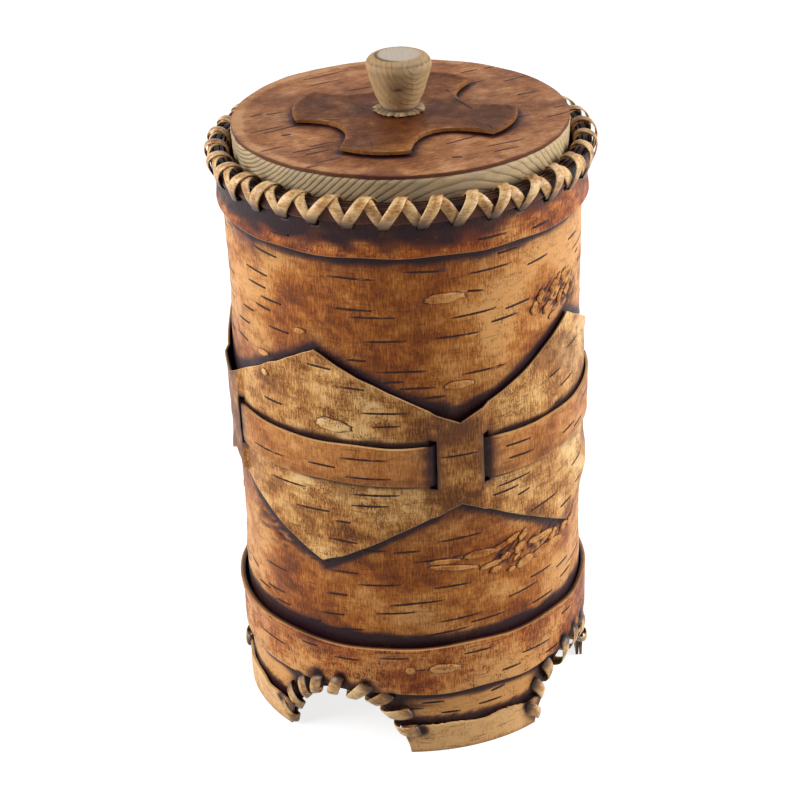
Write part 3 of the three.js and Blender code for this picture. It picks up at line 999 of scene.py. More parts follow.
def ribbon(
    name: str, path: Path, wall: float, width: float,
    thickness: float, samples: int = 30, cup: float = 0.16, narrow: float = 0.8,
) -> Object:
    """Makes one stitch of a flat lace along a smooth path.

    Args:
        path: the distance along the edge, past the edge and out from the wall's inner face, for
            each point that the lace passes.
        wall: the thickness of the wall that the path is drawn for.
        width: the lace's width.
        thickness: the lace's thickness.
        samples: the number of cross sections.
        cup: how far the lace's edges bend towards the wall.
        narrow: the share of the width that is left in the holes.

    Returns:
        The stitch, with the marks outside, stain, pale and edge.
    """
    knots = np.array(path, float)
    distance = np.concatenate([[0], np.cumsum(np.linalg.norm(np.diff(knots, axis=0), axis=1))])
    place = np.linspace(0, distance[-1], samples)
    padded = np.vstack([2 * knots[0] - knots[1], knots, 2 * knots[-1] - knots[-2]])
    line = np.zeros((samples, 3))
    for i, at in enumerate(place):
        k = min(int(np.searchsorted(distance, at, "right")) - 1, len(knots) - 2)
        t = (at - distance[k]) / (distance[k + 1] - distance[k])
        p0, p1, p2, p3 = padded[k], padded[k + 1], padded[k + 2], padded[k + 3]
        line[i] = 0.5 * (
            2 * p1 + (p2 - p0) * t + (2 * p0 - 5 * p1 + 4 * p2 - p3) * t ** 2
            + (3 * p1 - p0 - 3 * p2 + p3) * t ** 3
        )
    spots = np.stack([line[:, 0], -line[:, 2], line[:, 1]], -1)
    along = np.gradient(spots, axis=0)
    along /= np.linalg.norm(along, axis=1)[:, None]
    off = np.cross(np.array([1.0, 0, 0]), along)
    off /= np.linalg.norm(off, axis=1)[:, None]
    side = np.cross(off, along)
    share = place / place[-1]
    from_end = np.minimum(share, 1 - share)
    half = width / 2 * (1 - (1 - narrow) * np.exp(-(from_end / 0.06) ** 2))
    across = np.array([-1, -0.78, 0, 0.78, 1, 0.78, 0, -0.78])
    height = np.array([0, 0.9, 1, 0.9, 0, -1, -1, -1]) * thickness / 2 - cup * across ** 2
    ring = len(across)
    points = (
        spots[:, None, :] + side[:, None, :] * (half[:, None] * across)[..., None]
        + off[:, None, :] * height[None, :, None]
    )
    outside = np.clip(line[:, 2] / wall, 0, 1)
    points[:, :, 1] += wall * outside[:, None]
    number = np.arange(samples * ring).reshape(samples, ring)
    step = np.roll(number, -1, axis=1)
    faces = np.stack([number[:-1], number[1:], step[1:], step[:-1]], -1).reshape(-1, 4).tolist()
    faces.append(number[0].tolist())
    faces.append(number[-1][::-1].tolist())
    # The ends, where the lace goes into its holes, are painted dark as the shade of the holes; the runs on
    # the inner face are darker too.
    dark = 1.25 * np.exp(-(from_end / 0.17) ** 2)
    inner = 0.35 * (1 - outside)
    worn = np.tile(np.where(np.abs(across) > 0.7, 0.35, 0.0), samples)
    return mesh_object(name, points.reshape(-1, 3), faces, {
        "outside": np.repeat(outside, ring),
        "stain": np.repeat(np.clip(dark + inner, 0, 1), ring),
        "pale": worn, "edge": worn * 0,
    })


# Sub-assemblies

def dress(piece: Object, finish: Finish, body: str, slot: str, *nodes: str) -> None:
    """Gives a piece its finish and says what it rides on and stands for.

    Args:
        piece: the finished piece.
        finish: its finish.
        body: the CAD body that carries it.
        slot: the record's material slot; not used.
        nodes: the CAD nodes that it replaces, if any.
    """
    piece.data.materials.clear()
    piece.data.materials.append(finish.material())
    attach(piece, body)
    if nodes:
        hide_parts(*nodes)
    LOG.info("%s: %d faces", piece.name, len(piece.data.polygons))


def beside(distance: Array, reach: float) -> Array:
    """Gives the stain that was left at a distance from a step, 1 at the step itself."""
    return np.exp(-np.clip(distance, 0, None) / reach)


def band(distance: Array, solid: float, soft: float) -> Array:
    """Gives stain that is full up to a distance from a step and then thins out."""
    return 1 - fade(distance, solid, solid + soft)


def together(*shares: Array) -> Array:
    """Lays several stains over each other, so that none passes 1."""
    return 1 - math.prod(1 - np.clip(share, 0, 1) for share in shares)


def spotted(turn: Array, height: Array, spots: Spots, reach: float) -> Array:
    """Gives round spots, 1 in the middle of each.

    Args:
        turn: degrees round the wall.
        height: millimetres up the wall.
        spots: turn and height of each spot's middle.
        reach: how wide they are, in millimetres.

    Returns:
        Shares from 0 to 1.
    """
    total = np.zeros(np.broadcast(turn, height).shape)
    for middle, level in spots:
        across = WALL.arc_of(turn_between(turn, middle))
        total = np.maximum(total, np.exp(-(across ** 2 + (height - level) ** 2) / reach ** 2))
    return total


STAIN_RIPPLE = Ripple(size=7, height=0.22, seed=31, stretch=2.0, waves=28)
WIPE_RIPPLE = Ripple(size=34, height=0.3, seed=32, stretch=1.0)
RAGGED = Ripple(size=2.4, height=0.4, seed=33, stretch=0.7, waves=40)


@dataclass
class Shell:
    """The canister's two bark sheets and its base."""

    fine_step: float = 1.0
    column_step: float = 1.25
    hidden_step: float = 4.0
    disc_low: float = 26.5
    disc_high: float = 34.5
    disc_radius: float = 47.7
    wrap_seam: float = 131.0
    liner_seam: float = 295.0
    strip_high: float = 9.3
    knots: tuple[tuple[float, float, float, float], ...] = (
        (-12, 135.5, 12, 5.5), (-1, 134, 7, 6), (-14, 61, 13, 4), (-31, 61.5, 9, 5), (-1, 64, 9, 4),
    )

    def wrap_heights(self, turns: Array) -> Array:
        """Gives the wrap's rows: fine where the bark shows and coarse behind the hoops.

        Args:
            turns: the columns' turns.

        Returns:
            One line of heights for each column.
        """
        knee = WALL.bottom_hoop_low
        low = ARCHES.edge(turns)[:, None]
        below = low + (knee - low) * np.linspace(0, 1, 20)[None, :] ** 0.9
        show = np.arange(WALL.bottom_hoop_high - 1, WALL.top_hoop_low + 1, self.fine_step)
        levels = np.concatenate([
            np.arange(knee, show[0] - 1, self.hidden_step)[1:], show,
            [WALL.top_hoop_low + 6, WALL.rim - EDGE_ROW, WALL.rim],
        ])
        above = np.broadcast_to(levels, (len(turns), len(levels)))
        return np.concatenate([below, above], 1)

    def wrap_stain(self, turn: Array, height: Array) -> Array:
        """Gives the stain on the wrap beside the hoops, the belt and the feet, with painted shade of
        their gaps and edges mixed into it.

        Args:
            turn: degrees round the wall.
            height: millimetres up the wall.

        Returns:
            The stain, 1 where it is full.
        """
        waver = STAIN_RIPPLE.at(turn, height)
        # The bands grow wider towards the camera's left; the extra width there is painted shade of the gaps
        # under the hoops' and the belt's edges.
        left = 0.5 + 0.5 * np.cos(np.radians(turn_between(turn, WALL.camera_turn - 70)))
        down = WALL.top_hoop_low - height + waver
        under_hoop = together(band(down, 0.9 + left, 1.6), beside(down, 2.4 + 2.6 * left) * 0.55)
        up = height - WALL.bottom_hoop_high + waver
        over_hoop = together(band(up, 2.2 + 0.8 * left, 1.5), beside(up - 2, 2.4) * 0.4)
        over_hoop = over_hoop * (height > WALL.bottom_hoop_high - 2)
        out = BELT_LINE.gap(turn, height) + waver
        above = height > WALL.belt_middle
        notch = np.exp(-(BELT_LINE.from_neck(turn) / 8) ** 2)
        solid = np.where(above, 0.8 + 1.6 * notch, 1.2 + 1.6 * fade(left, 0.7, 1))
        by_belt = together(
            band(out - solid, 0.0, np.where(above, 1.9, 1.5)) * 1.1,
            beside(out, 2.4 + 2.0 * left + 2.6 * notch) * 0.6,
        )
        by_strip = band(height - self.strip_high + 0.5 * RAGGED.at(turn, height), 1.1, 2.0) * 0.95
        # Painted shadow just under the bottom hoop's lower edge.
        by_hoop = band(WALL.bottom_hoop_low - height + 0.5 * waver, 1.7, 1.9)
        streak = np.clip(STAIN_RIPPLE.at(turn * 0.2, height * 4), 0, 1) * 17
        streak = streak * (turn_between(turn, 0, QUARTER_TURN) > 0)
        by_arch = beside(ARCHES.past_side(turn) + 2.0, 2.2 + streak) * (0.3 + 0.65 * fade(height, 3, 9))
        foot = together(by_strip, by_hoop, by_arch) * (height < WALL.bottom_hoop_low + 2)
        cloud = fade(WIPE_RIPPLE.at(turn, height), 0.25, 0.9) * 0.2
        knots = self.near_knots(turn, height) * fade(RAGGED.at(turn * 0.7, height), -0.25, 0.25)
        # In the crease the furrows are painted dark, as shade, and the ridges left clear.
        folds = self.creased(turn, height) * (0.4 - 0.6 * self.folds(turn, height))
        return together(under_hoop, over_hoop, by_belt, foot, cloud, knots * 0.9, folds)

    def creased(self, turn: Array, height: Array) -> Array:
        """Gives the creased place at the left, below the belt, 1 in its middle."""
        return np.exp(-(turn_between(turn, -113) / 14) ** 2 - ((height - 65.5) / 5) ** 4)

    def folds(self, turn: Array, height: Array) -> Array:
        """Gives the creases' ridges and furrows, from 1 to -1."""
        return np.sin(2 * math.pi * (height + 2 * RAGGED.at(turn * 0.1, height * 0.4)) / 2.7)

    def rubbed(self, turn: Array, height: Array) -> Array:
        """Gives where the wrap is paler: its sides, as painted light, and its feet; below 0 where it
        is darker, as painted shade at the upper front.

        Args:
            turn: degrees round the wall.
            height: millimetres up the wall.

        Returns:
            The share, 1 for the palest.
        """
        # The sides are painted paler and the upper front darker by the turn from the front, as light and
        # shade.
        from_front = np.abs(turn_between(turn, WALL.camera_turn - 8))
        side = fade(from_front, 8, 56) * 0.52
        uneven = fade(WIPE_RIPPLE.at(turn + 80, height * 1.4), -0.35, 0.45)
        light = spotted(turn, height, ((-20, 149), (-32, 141), (-4, 148)), 11) * 0.5
        light += spotted(turn, height, ((-53, 124), (-40, 125), (-64, 48), (-74, 46)), 9) * 0.3
        light -= spotted(turn, height, ((-117, 46), (-108, 54)), 13) * 0.3
        foot = (height < WALL.bottom_hoop_low) * 0.8
        deep = fade(height, 70, 110) * np.exp(-(from_front / 26) ** 2) * 0.12
        return np.maximum(side * uneven, foot) + light - deep

    def near_knots(self, turn: Array, height: Array) -> Array:
        """Gives the cracked patches where branches left the trunk, 1 in the middle of each.

        Args:
            turn: degrees round the wall.
            height: millimetres up the wall.

        Returns:
            Shares from 0 to 1.
        """
        total = nothing(turn, height)
        for middle, level, wide, tall in self.knots:
            across = WALL.arc_of(turn_between(turn, middle)) / wide
            total = np.maximum(total, 1 - fade(np.hypot(across, (height - level) / tall), 0.5, 1.1))
        return total

    def wrap_relief(self, turn: Array, height: Array) -> Array:
        """Gives the wrap's fine unevenness, which is rough in the knots.

        Args:
            turn: degrees round the wall.
            height: millimetres up the wall.

        Returns:
            The rise in millimetres.
        """
        rough = np.clip(RAGGED.at(turn * 0.7, height), -0.3, 0.3) * -1.2
        folds = 0.3 * self.creased(turn, height) * self.folds(turn, height)
        return FINE_RIPPLE.at(turn, height) + self.near_knots(turn, height) * rough + folds

    def build(self) -> Object:
        """Builds and dresses the liner, the wrap and the base.

        Returns:
            The wrap, for the marks on it.
        """
        turns, inner, outer = lapped(
            self.wrap_seam, self.column_step, WALL.wrap_inner, WALL.radius, ARCHES.marks(),
        )
        wrap = WoundSheet(
            name="outer_wrap_bark", turns=turns, heights=self.wrap_heights(turns), inner=inner,
            outer=outer, lift=body_bulge, relief=self.wrap_relief, stain=self.wrap_stain,
            pale=self.rubbed, through=0.3,
        ).build()
        dress(wrap, WRAP_BARK, "canister", "wrap_bark", "outer_wrap")

        turns, inner, outer = lapped(self.liner_seam, 2.2, WALL.liner_inner, WALL.liner_outer - 0.1)
        low, high = np.full(len(turns), WALL.liner_low), np.full(len(turns), WALL.rim)
        liner = WoundSheet(
            name="inner_liner_bark", turns=turns, heights=even_rows(low, high, 3.0), inner=inner,
            outer=outer, lift=body_bulge,
            stain=lambda t, z: together(beside(z - self.disc_high, 2.0) * 0.5, fade(z, 163, 168)),
        ).build()
        dress(liner, LINER_BARK, "canister", "liner_bark", "inner_liner")

        base = lathe("bottom_disc_wood", [
            (0.0, self.disc_low), (self.disc_radius - 0.6, self.disc_low),
            (self.disc_radius, self.disc_low + 0.6), (self.disc_radius, self.disc_high - 0.6),
            (self.disc_radius - 0.6, self.disc_high), (0.0, self.disc_high),
        ], 96, 2.5)
        dress(base, BASE_WOOD, "canister", "pale_wood", "bottom_disc")
        return wrap


def lathe(
    name: str, outline: Spots, facets: int, step: float,
    shape: Callable[[Array, Array, Array], tuple[Array, Array]] | None = None,
    **marks: Callable[[Array, Array, Array], Array],
) -> Object:
    """Turns an outline of radius and height round the axis.

    Args:
        name: the piece's name.
        outline: points from the axis at the bottom to the axis at the top.
        facets: the number of columns.
        step: the longest stretch between two rings of points.
        shape: changes radius and height by turn, radius and height.
        marks: the marks for the finish, by the same three numbers.

    Returns:
        The object.
    """
    rings = [outline[0]]
    for before, after in zip(outline, outline[1:]):
        parts = max(1, round(math.dist(before, after) / step))
        for k in range(1, parts + 1):
            share = k / parts
            rings.append(tuple(b + (a - b) * share for b, a in zip(before, after)))
    body = np.array(rings[1:-1])
    turn = np.linspace(0, FULL_TURN, facets, endpoint=False)
    turn, radius = np.broadcast_arrays(turn[None, :], body[:, :1])
    height = np.broadcast_to(body[:, 1:], turn.shape)
    if shape is not None:
        radius, height = shape(turn, radius, height)
    low, high = height[0].mean(), height[-1].mean()
    points = np.vstack([roll_up(turn, radius, height).reshape(-1, 3), [[0, 0, low], [0, 0, high]]])
    count = len(body)
    number = np.arange(count * facets).reshape(count, facets)
    step_on = np.roll(number, -1, axis=1)
    faces = np.stack([number[:-1], step_on[:-1], step_on[1:], number[1:]], -1).reshape(-1, 4).tolist()
    for k in range(facets):
        faces.append([count * facets, int(step_on[0, k]), int(number[0, k])])
        faces.append([count * facets + 1, int(number[-1, k]), int(step_on[-1, k])])
    values = {key: np.zeros(len(points)) for key in ("stain", "pale", "edge")}
    for key, mark in marks.items():
        values[key][: count * facets] = np.clip(mark(turn, radius, height), 0, 1).ravel()
        values[key][-2], values[key][-1] = values[key][0], values[key][count * facets - 1]
    return mesh_object(name, points, faces, values)


@dataclass
class Hoops:
    """The wide hoops round the mouth and above the feet, and the strip over the top hoop."""

    step: float = 0.8
    top_seam: float = 108.0
    bottom_seam: float = 139.0
    strip_seam: float = 150.0
    strip_inner: float = 52.2
    strip_outer: float = 52.9
    strip_low: float = 166.8
    hole_low: float = 164.9
    hole_high: float = 166.3
    hole_half: float = 1.3
    first_stitch: float = 3.9
    stitches: int = 34
    flare: float = 0.35
    dent: float = 0.6

    def from_stitch(self, turn: Array) -> Array:
        """Gives the arc from the nearest stitch round the rim."""
        pitch = FULL_TURN / self.stitches
        return WALL.arc_of(np.abs(turn_between(turn, self.first_stitch, pitch)))

    def build(self, holes: Spots) -> dict[str, Object]:
        """Builds and dresses the two hoops and the rim strip.

        Args:
            holes: turn and height of the holes that the arches' laces come out of.

        Returns:
            The two hoops by name, for the marks on them.
        """
        flare = Ripple(size=60, height=0.5, seed=41, stretch=2.0)
        wave = Ripple(size=40, height=0.22, seed=42, stretch=0.8)
        pitch = FULL_TURN / self.stitches
        hole = WALL.turn_of(self.hole_half)
        marks = [
            (self.first_stitch + k * pitch + side * hole) % FULL_TURN
            for k in range(self.stitches) for side in (-1, 1)
        ]
        turns, inner, outer = lapped(self.top_seam, self.step, WALL.hoop_inner, WALL.hoop_outer, marks)
        low = WALL.top_hoop_low + 0.25 + wave.at(turns, 0)
        levels = np.concatenate([
            np.array([0, EDGE_ROW, 1.1, 1.9, 2.7, 3.5, 4.3, 5.1, 5.9, 6.7, 7.5]) + WALL.top_hoop_low,
            [self.hole_low, (self.hole_low + self.hole_high) / 2, self.hole_high],
            [167.6, 169.2, WALL.rim - EDGE_ROW, WALL.rim],
        ])
        heights = np.broadcast_to(levels, (len(turns), len(levels))).copy()
        heights[:, :3] += (low - WALL.top_hoop_low)[:, None]
        top = WoundSheet(
            name="top_hoop_bark", turns=turns, heights=heights, inner=inner, outer=outer,
            lift=lambda t, z: fade(-z, -160.5, -156) * np.clip(self.flare + flare.at(t, 0), 0, 0.8),
            relief=FINE_RIPPLE.at, stain=self.top_stain,
            missing=lambda t, z: (
                (self.from_stitch(t) < self.hole_half) & (z > self.hole_low) & (z < self.hole_high)
            ),
        ).build()
        dress(top, HOOP_BARK, "canister", "hoop_bark", "top_hoop")

        turns, inner, outer = lapped(self.strip_seam, 1.4, self.strip_inner, self.strip_outer)
        rough = Ripple(size=3, height=0.1, seed=44, stretch=1.0, waves=30)
        low = self.strip_low + 0.1 + rough.at(turns, 0)
        strip = WoundSheet(
            name="rim_strip_bark", turns=turns,
            heights=even_rows(low, np.full(len(turns), WALL.rim), 0.9), inner=inner, outer=outer,
            relief=FINE_RIPPLE.at,
            # Strong stain all over the strip, darkest towards its top edge under the laces' turns; this
            # stands in partly for the shade between the laces.
            stain=lambda t, z: together(0.45 + 0.8 * STAIN_RIPPLE.at(t, z), fade(z, 169.5, 171) * 0.6),
        ).build()
        dress(strip, RIM_BARK, "canister", "rim_bark", "rim_strip")

        turns, inner, outer = lapped(
            self.bottom_seam, self.step, WALL.hoop_inner, WALL.hoop_outer, ARCHES.marks(),
        )
        low = WALL.bottom_hoop_low + 0.2 + Ripple(size=30, height=0.2, seed=46).at(turns, 0)
        high = WALL.bottom_hoop_high - 0.3 + Ripple(size=40, height=0.3, seed=47).at(turns, 0)
        left = np.cos(np.radians(turn_between(turns, WALL.camera_turn - 62)))
        spread = np.clip(0.25 + 0.7 * left, 0.15, 0.9)
        bottom = WoundSheet(
            name="bottom_hoop_bark", turns=turns, inner=inner, outer=outer,
            # The inner face is painted black, as shade in the gap where the hoop stands off.
            heights=even_rows(low, high, self.step), soaked_inside=1.0,
            relief=lambda t, z: FINE_RIPPLE.at(t, z) - self.dent * spotted(t, z, holes, 1.2),
            lift=lambda t, z: fade(z, 29, 36.5) * spread[:, None],
            stain=lambda t, z: self.bottom_stain(t, z, holes),
            pale=lambda t, z: (
                spotted(t, z, ((-104, 26.5), (-16, 28), (-27, 23)), 11) * 0.4
                + beside(z - WALL.bottom_hoop_low, 3.5) * 0.35
            ),
        ).build()
        dress(bottom, HOOP_BARK, "canister", "hoop_bark", "bottom_hoop")
        return {"top_hoop": top, "bottom_hoop": bottom}

    def top_stain(self, turn: Array, height: Array) -> Array:
        """Gives the stain on the top hoop: all its upper half, and a little below.

        Args:
            turn: degrees round the wall.
            height: millimetres up the wall.

        Returns:
            The stain, 1 where it is full.
        """
        waver = STAIN_RIPPLE.at(turn, height)
        cloud = fade(WIPE_RIPPLE.at(turn + 40, height), 0.2, 0.8) * 0.3
        left = 0.5 + 0.5 * np.cos(np.radians(turn_between(turn, WALL.camera_turn - 75)))
        upper = fade(height + 3 * waver - 4.5 * fade(-left, -0.55, -0.15), 157.2, 162.6)
        return together(upper * (0.6 + 0.5 * left + 0.3 * waver), cloud * fade(height, 157, 159))

    def bottom_stain(self, turn: Array, height: Array, holes: Spots) -> Array:
        """Gives the darkening on the bottom hoop: painted shade in the laces' holes, which are only
        dents, and stain over the arches.

        Args:
            turn: degrees round the wall.
            height: millimetres up the wall.
            holes: turn and height of the laces' holes.

        Returns:
            The stain, 1 where it is full.
        """
        waver = STAIN_RIPPLE.at(turn + 90, height)
        over_arch = fade(ARCHES.edge(turn), 13, 18)
        by_arch = band(height - WALL.bottom_hoop_low + 3 * waver, 0.9, 2.6) * over_arch * 0.85
        soft = beside(height - WALL.bottom_hoop_low, 4) * over_arch * 0.45
        # The holes are only dents, painted dark as the shade inside them.
        in_hole = np.clip(spotted(turn, height, holes, 1.5) * 1.6, 0, 1)
        cloud = fade(WIPE_RIPPLE.at(turn + 120, height), 0.1, 0.8) * 0.25
        return together(by_arch, soft, in_hole, cloud)


@dataclass
class Belt:
    """The belt of four diamonds and the strap threaded through it."""

    step: float = 0.9
    seam: float = 85.5
    strap_width: float = 11.7
    strap_gap: float = 0.46
    strap_ease: float = 0.46
    bow: float = 0.25

    def across(self, turn: Array, at_bridge: float, at_diamond: float, ease: float) -> Array:
        """Gives a radius that changes smoothly between a bridge and a diamond.

        Args:
            turn: degrees round the wall.
            at_bridge: the radius on the bridges.
            at_diamond: the radius on the diamonds.
            ease: how much later the change starts and how much earlier it ends, in degrees.

        Returns:
            The radius at each turn.
        """
        share = fade(BELT_LINE.from_neck(turn), BELT_LINE.bridge_half() + ease, BELT_LINE.slot_end() - ease)
        return at_bridge + (at_diamond - at_bridge) * share

    def build(self) -> dict[str, Object]:
        """Builds and dresses the belt and the strap.

        Returns:
            The two pieces by name, for the marks on them.
        """
        line = BELT_LINE
        places = (line.bridge_half(), line.slot_middle(), line.slot_end(), EIGHTH_TURN)
        marks = [
            (line.neck_turn + k * QUARTER_TURN + side * place) % FULL_TURN
            for k in range(QUARTERS) for side in (-1, 1) for place in places
        ]
        turns, inner, outer = lapped(self.seam, self.step, line.low, line.low + line.thickness, marks)
        rise = (self.across(turns, line.high - line.low, 0, 0))[:, None]
        half = line.half_height(turns)
        knife = Ripple(size=9, height=0.07, seed=51, waves=24)
        low = (WALL.belt_middle - half + knife.at(turns, 0))[:, None]
        high = (WALL.belt_middle + half + knife.at(turns + 180, 0))[:, None]
        slot = line.slot_length / 2
        slot_low, slot_high = WALL.belt_middle - slot, WALL.belt_middle + slot
        share = np.linspace(0, 1, 21)[1:]
        lower = (low + EDGE_ROW) + (slot_low - low - EDGE_ROW) * share
        middle = np.linspace(slot_low, slot_high, 18)[1:] + 0 * low
        upper = slot_high + (high - EDGE_ROW - slot_high) * share
        band_sheet = WoundSheet(
            name="diamond_belt_bark", turns=turns,
            heights=np.concatenate([low, low + EDGE_ROW, lower, middle, upper, high], 1),
            inner=inner + rise, outer=outer + rise, lift=self.lift, relief=FINE_RIPPLE.at,
            # The inner face is painted nearly black, as shade in the gaps where the belt stands off.
            stain=self.belt_stain, soaked_inside=0.9,
            pale=lambda t, z: spotted(t, z, ((-80, 107), (-30, 84), (2, 82), (-98, 86)), 10) * 0.3
            - np.exp(-(line.from_neck(t) / 9.5) ** 4) * 0.34,
            missing=lambda t, z: (
                (line.from_neck(t) > line.bridge_half()) & (line.from_neck(t) < line.slot_end())
                & (np.abs(z - WALL.belt_middle) < slot)
            ),
        ).build()
        dress(band_sheet, BELT_BARK, "canister", "belt_bark", "diamond_belt")

        seam = line.neck_turn + QUARTER_TURN
        start, end = seam + self.strap_gap, seam + FULL_TURN - self.strap_gap
        turns = even_turns(start, end, WALL.turn_of(0.8), marks)
        radius = self.across(turns, line.low, line.high, self.strap_ease)[:, None]
        wave = Ripple(size=30, height=0.22, seed=52)
        low = WALL.belt_middle - self.strap_width / 2 + wave.at(turns, 0) - 0.1
        high = WALL.belt_middle + self.strap_width / 2 + wave.at(turns, 40) + 0.1
        strip = WoundSheet(
            name="belt_strap_bark", turns=turns, heights=even_rows(low, high, 0.9), inner=radius,
            outer=radius + line.thickness, lift=self.strap_lift, relief=FINE_RIPPLE.at,
            stain=self.strap_stain,
        ).build()
        dress(strip, STRAP_BARK, "canister", "strap_bark", "belt_strap")
        return {"belt": band_sheet, "strap": strip}

    def lift(self, turn: Array, height: Array) -> Array:
        """Gives how far the belt stands off, most at its tips and its upper and lower edges."""
        uneven = np.clip(0.3 + Ripple(size=30, height=0.3, seed=53).at(turn, 0), 0.05, 0.7)
        return body_bulge(turn, height) + fade(BELT_LINE.gap(turn, height), -5, 0) * uneven

    def strap_lift(self, turn: Array, height: Array) -> Array:
        """Gives how far the strap follows the wall and bows off it between two necks."""
        share = fade(BELT_LINE.from_neck(turn), BELT_LINE.slot_end(), 30)
        return body_bulge(turn, height) + share * self.bow

    def belt_stain(self, turn: Array, height: Array) -> Array:
        """Gives the stain on the belt, beside the strap and the slots and in the grain.

        Args:
            turn: degrees round the wall.
            height: millimetres up the wall.

        Returns:
            The stain, 1 where it is full.
        """
        waver = STAIN_RIPPLE.at(turn + 60, height)
        middle, slot_end = WALL.belt_middle, BELT_LINE.slot_end()
        across = np.abs(height - middle) - self.strap_width / 2 + waver
        solid = np.where(height > middle, 0.7, 0.2)
        on_diamond = fade(BELT_LINE.from_neck(turn), slot_end - 1, slot_end + 1)
        by_strap = together(band(across - solid, 0, 1.3), beside(across, 2.2) * 0.45) * on_diamond
        past_end = np.abs(height - middle) - BELT_LINE.slot_length / 2
        by_slot = beside(BELT_LINE.from_slot(turn) - 1.0, 1.1) * beside(past_end, 1.2) * 0.8
        neck = np.exp(-(BELT_LINE.from_neck(turn) / 10) ** 2) * 0.08
        cloud = fade(WIPE_RIPPLE.at(turn + 200, height), 0.1, 0.7) * 0.3
        return together(by_strap, by_slot, neck, cloud)

    def strap_stain(self, turn: Array, height: Array) -> Array:
        """Gives the stain and painted shade on the strap, where it goes through a slot and under a
        bridge.

        Args:
            turn: degrees round the wall.
            height: millimetres up the wall.

        Returns:
            The stain, 1 where it is full.
        """
        away = BELT_LINE.from_slot(turn)
        # Darkest where the strap dives under a bridge: painted shade there, with some stain.
        total = together(beside(away - 0.8, 1.0), beside(away, 5.0) * 0.4, BELT_LINE.from_neck(turn) < 8)
        low_edge = band(np.abs(height - WALL.belt_middle + 4.6), 0.2, 1.4) * 0.2
        return together(total + STAIN_RIPPLE.at(turn, height) * 0.2, low_edge)


@dataclass
class Feet:
    """The strip of bark round the outside of each foot."""

    height: float = 9.5
    end: float = 1.5
    inner: float = 50.4
    outer: float = 51.1
    step: float = 0.8
    loose_foot: int = 2

    def build(self, holes: Spots) -> None:
        """Builds and dresses the four strips.

        Args:
            holes: turn and height of the holes that the laces come out of.
        """
        share = 1 - ((self.height - self.end) / ARCHES.rise) ** ARCHES.crown
        reach = EIGHTH_TURN - WALL.turn_of(ARCHES.width / 2 * share ** (1 / ARCHES.shoulder))
        for k in range(QUARTERS):
            middle = EIGHTH_TURN + QUARTER_TURN * k
            turns = even_turns(middle - reach, middle + reach, WALL.turn_of(self.step), ARCHES.marks())
            torn = Ripple(size=1.6, height=0.09, seed=61 + k, waves=40).at(turns, 0)
            wave = Ripple(size=15, height=0.3, seed=65 + k).at(turns, 0)
            loose = 1.3 if k == self.loose_foot else 0.3
            side = (
                fade(turns - middle, -5, reach) if k == self.loose_foot
                else np.abs(turns - middle) / reach
            )
            stand = Ripple(size=12, height=0.3, seed=71 + k).at(turns, 0)
            lift = loose * side + np.clip(stand, 0, 1) * 0.5
            strip = WoundSheet(
                name=f"foot_strip_bark_{k + 1}", turns=turns,
                heights=even_rows(ARCHES.edge(turns) + 0.12, self.height - 0.25 + torn + wave, 0.8),
                inner=self.inner, outer=self.outer,
                relief=lambda t, z: FINE_RIPPLE.at(t, z) - 0.4 * spotted(t, z, holes, 1.1),
                lift=lambda t, z, lift=lift: fade(z, 2, self.height) * lift[:, None],
                stain=lambda t, z: self.stain(t, z, holes),
                pale=lambda t, z: 0.5 + band(self.height - z + RAGGED.at(t, z), 0.4, 1.4) * 0.4,
            ).build()
            dress(strip, STRAP_BARK, "canister", "strap_bark", f"foot_strip_{k + 1}")

    def stain(self, turn: Array, height: Array, holes: Spots) -> Array:
        """Gives the darkening on a foot strip: painted shade in the laces' holes, which are only
        dents, and stain by the arches and underneath.

        Args:
            turn: degrees round the wall.
            height: millimetres up the wall.
            holes: turn and height of the laces' holes.

        Returns:
            The stain, 1 where it is full.
        """
        by_arch = beside(ARCHES.past_side(turn) + 1.4, 2.6) * (0.25 + 0.4 * fade(height, 2, 7))
        # The holes are only dents, painted dark as the shade inside them.
        in_hole = np.clip(spotted(turn, height, holes, 1.4) * 1.7, 0, 1)
        return together(by_arch, in_hole, beside(height, 1.0) * 0.35, 0.3 * STAIN_RIPPLE.at(turn, height))


def edge_curve(name: str, points: Spots) -> Object:
    """Makes the edge that a lace is whipped round, as a curve in the unrolled plane.

    Args:
        name: the object's name.
        points: arc and height of each point.

    Returns:
        The curve.
    """
    curve = bpy.data.curves.new(name, "CURVE")
    curve.dimensions = "3D"
    spline = curve.splines.new("POLY")
    spline.points.add(len(points) - 1)
    for place, (arc, height) in zip(spline.points, points):
        place.co = (arc * MM, 0, height * MM, 1)
    return in_scene(name, curve)


@dataclass(frozen=True)
class Strand:
    """One lace: the CAD node that it replaces, its stitch and how unevenly it was whipped.

    wall is the thickness that the path is drawn for and inner the radius of the inner face. sway
    is how far a stitch may lean, as a slope, and swell how much its height may differ.
    """

    node: str
    path: Path
    wall: float
    inner: float
    sway: float
    swell: float
    seed: int
    samples: int = 30


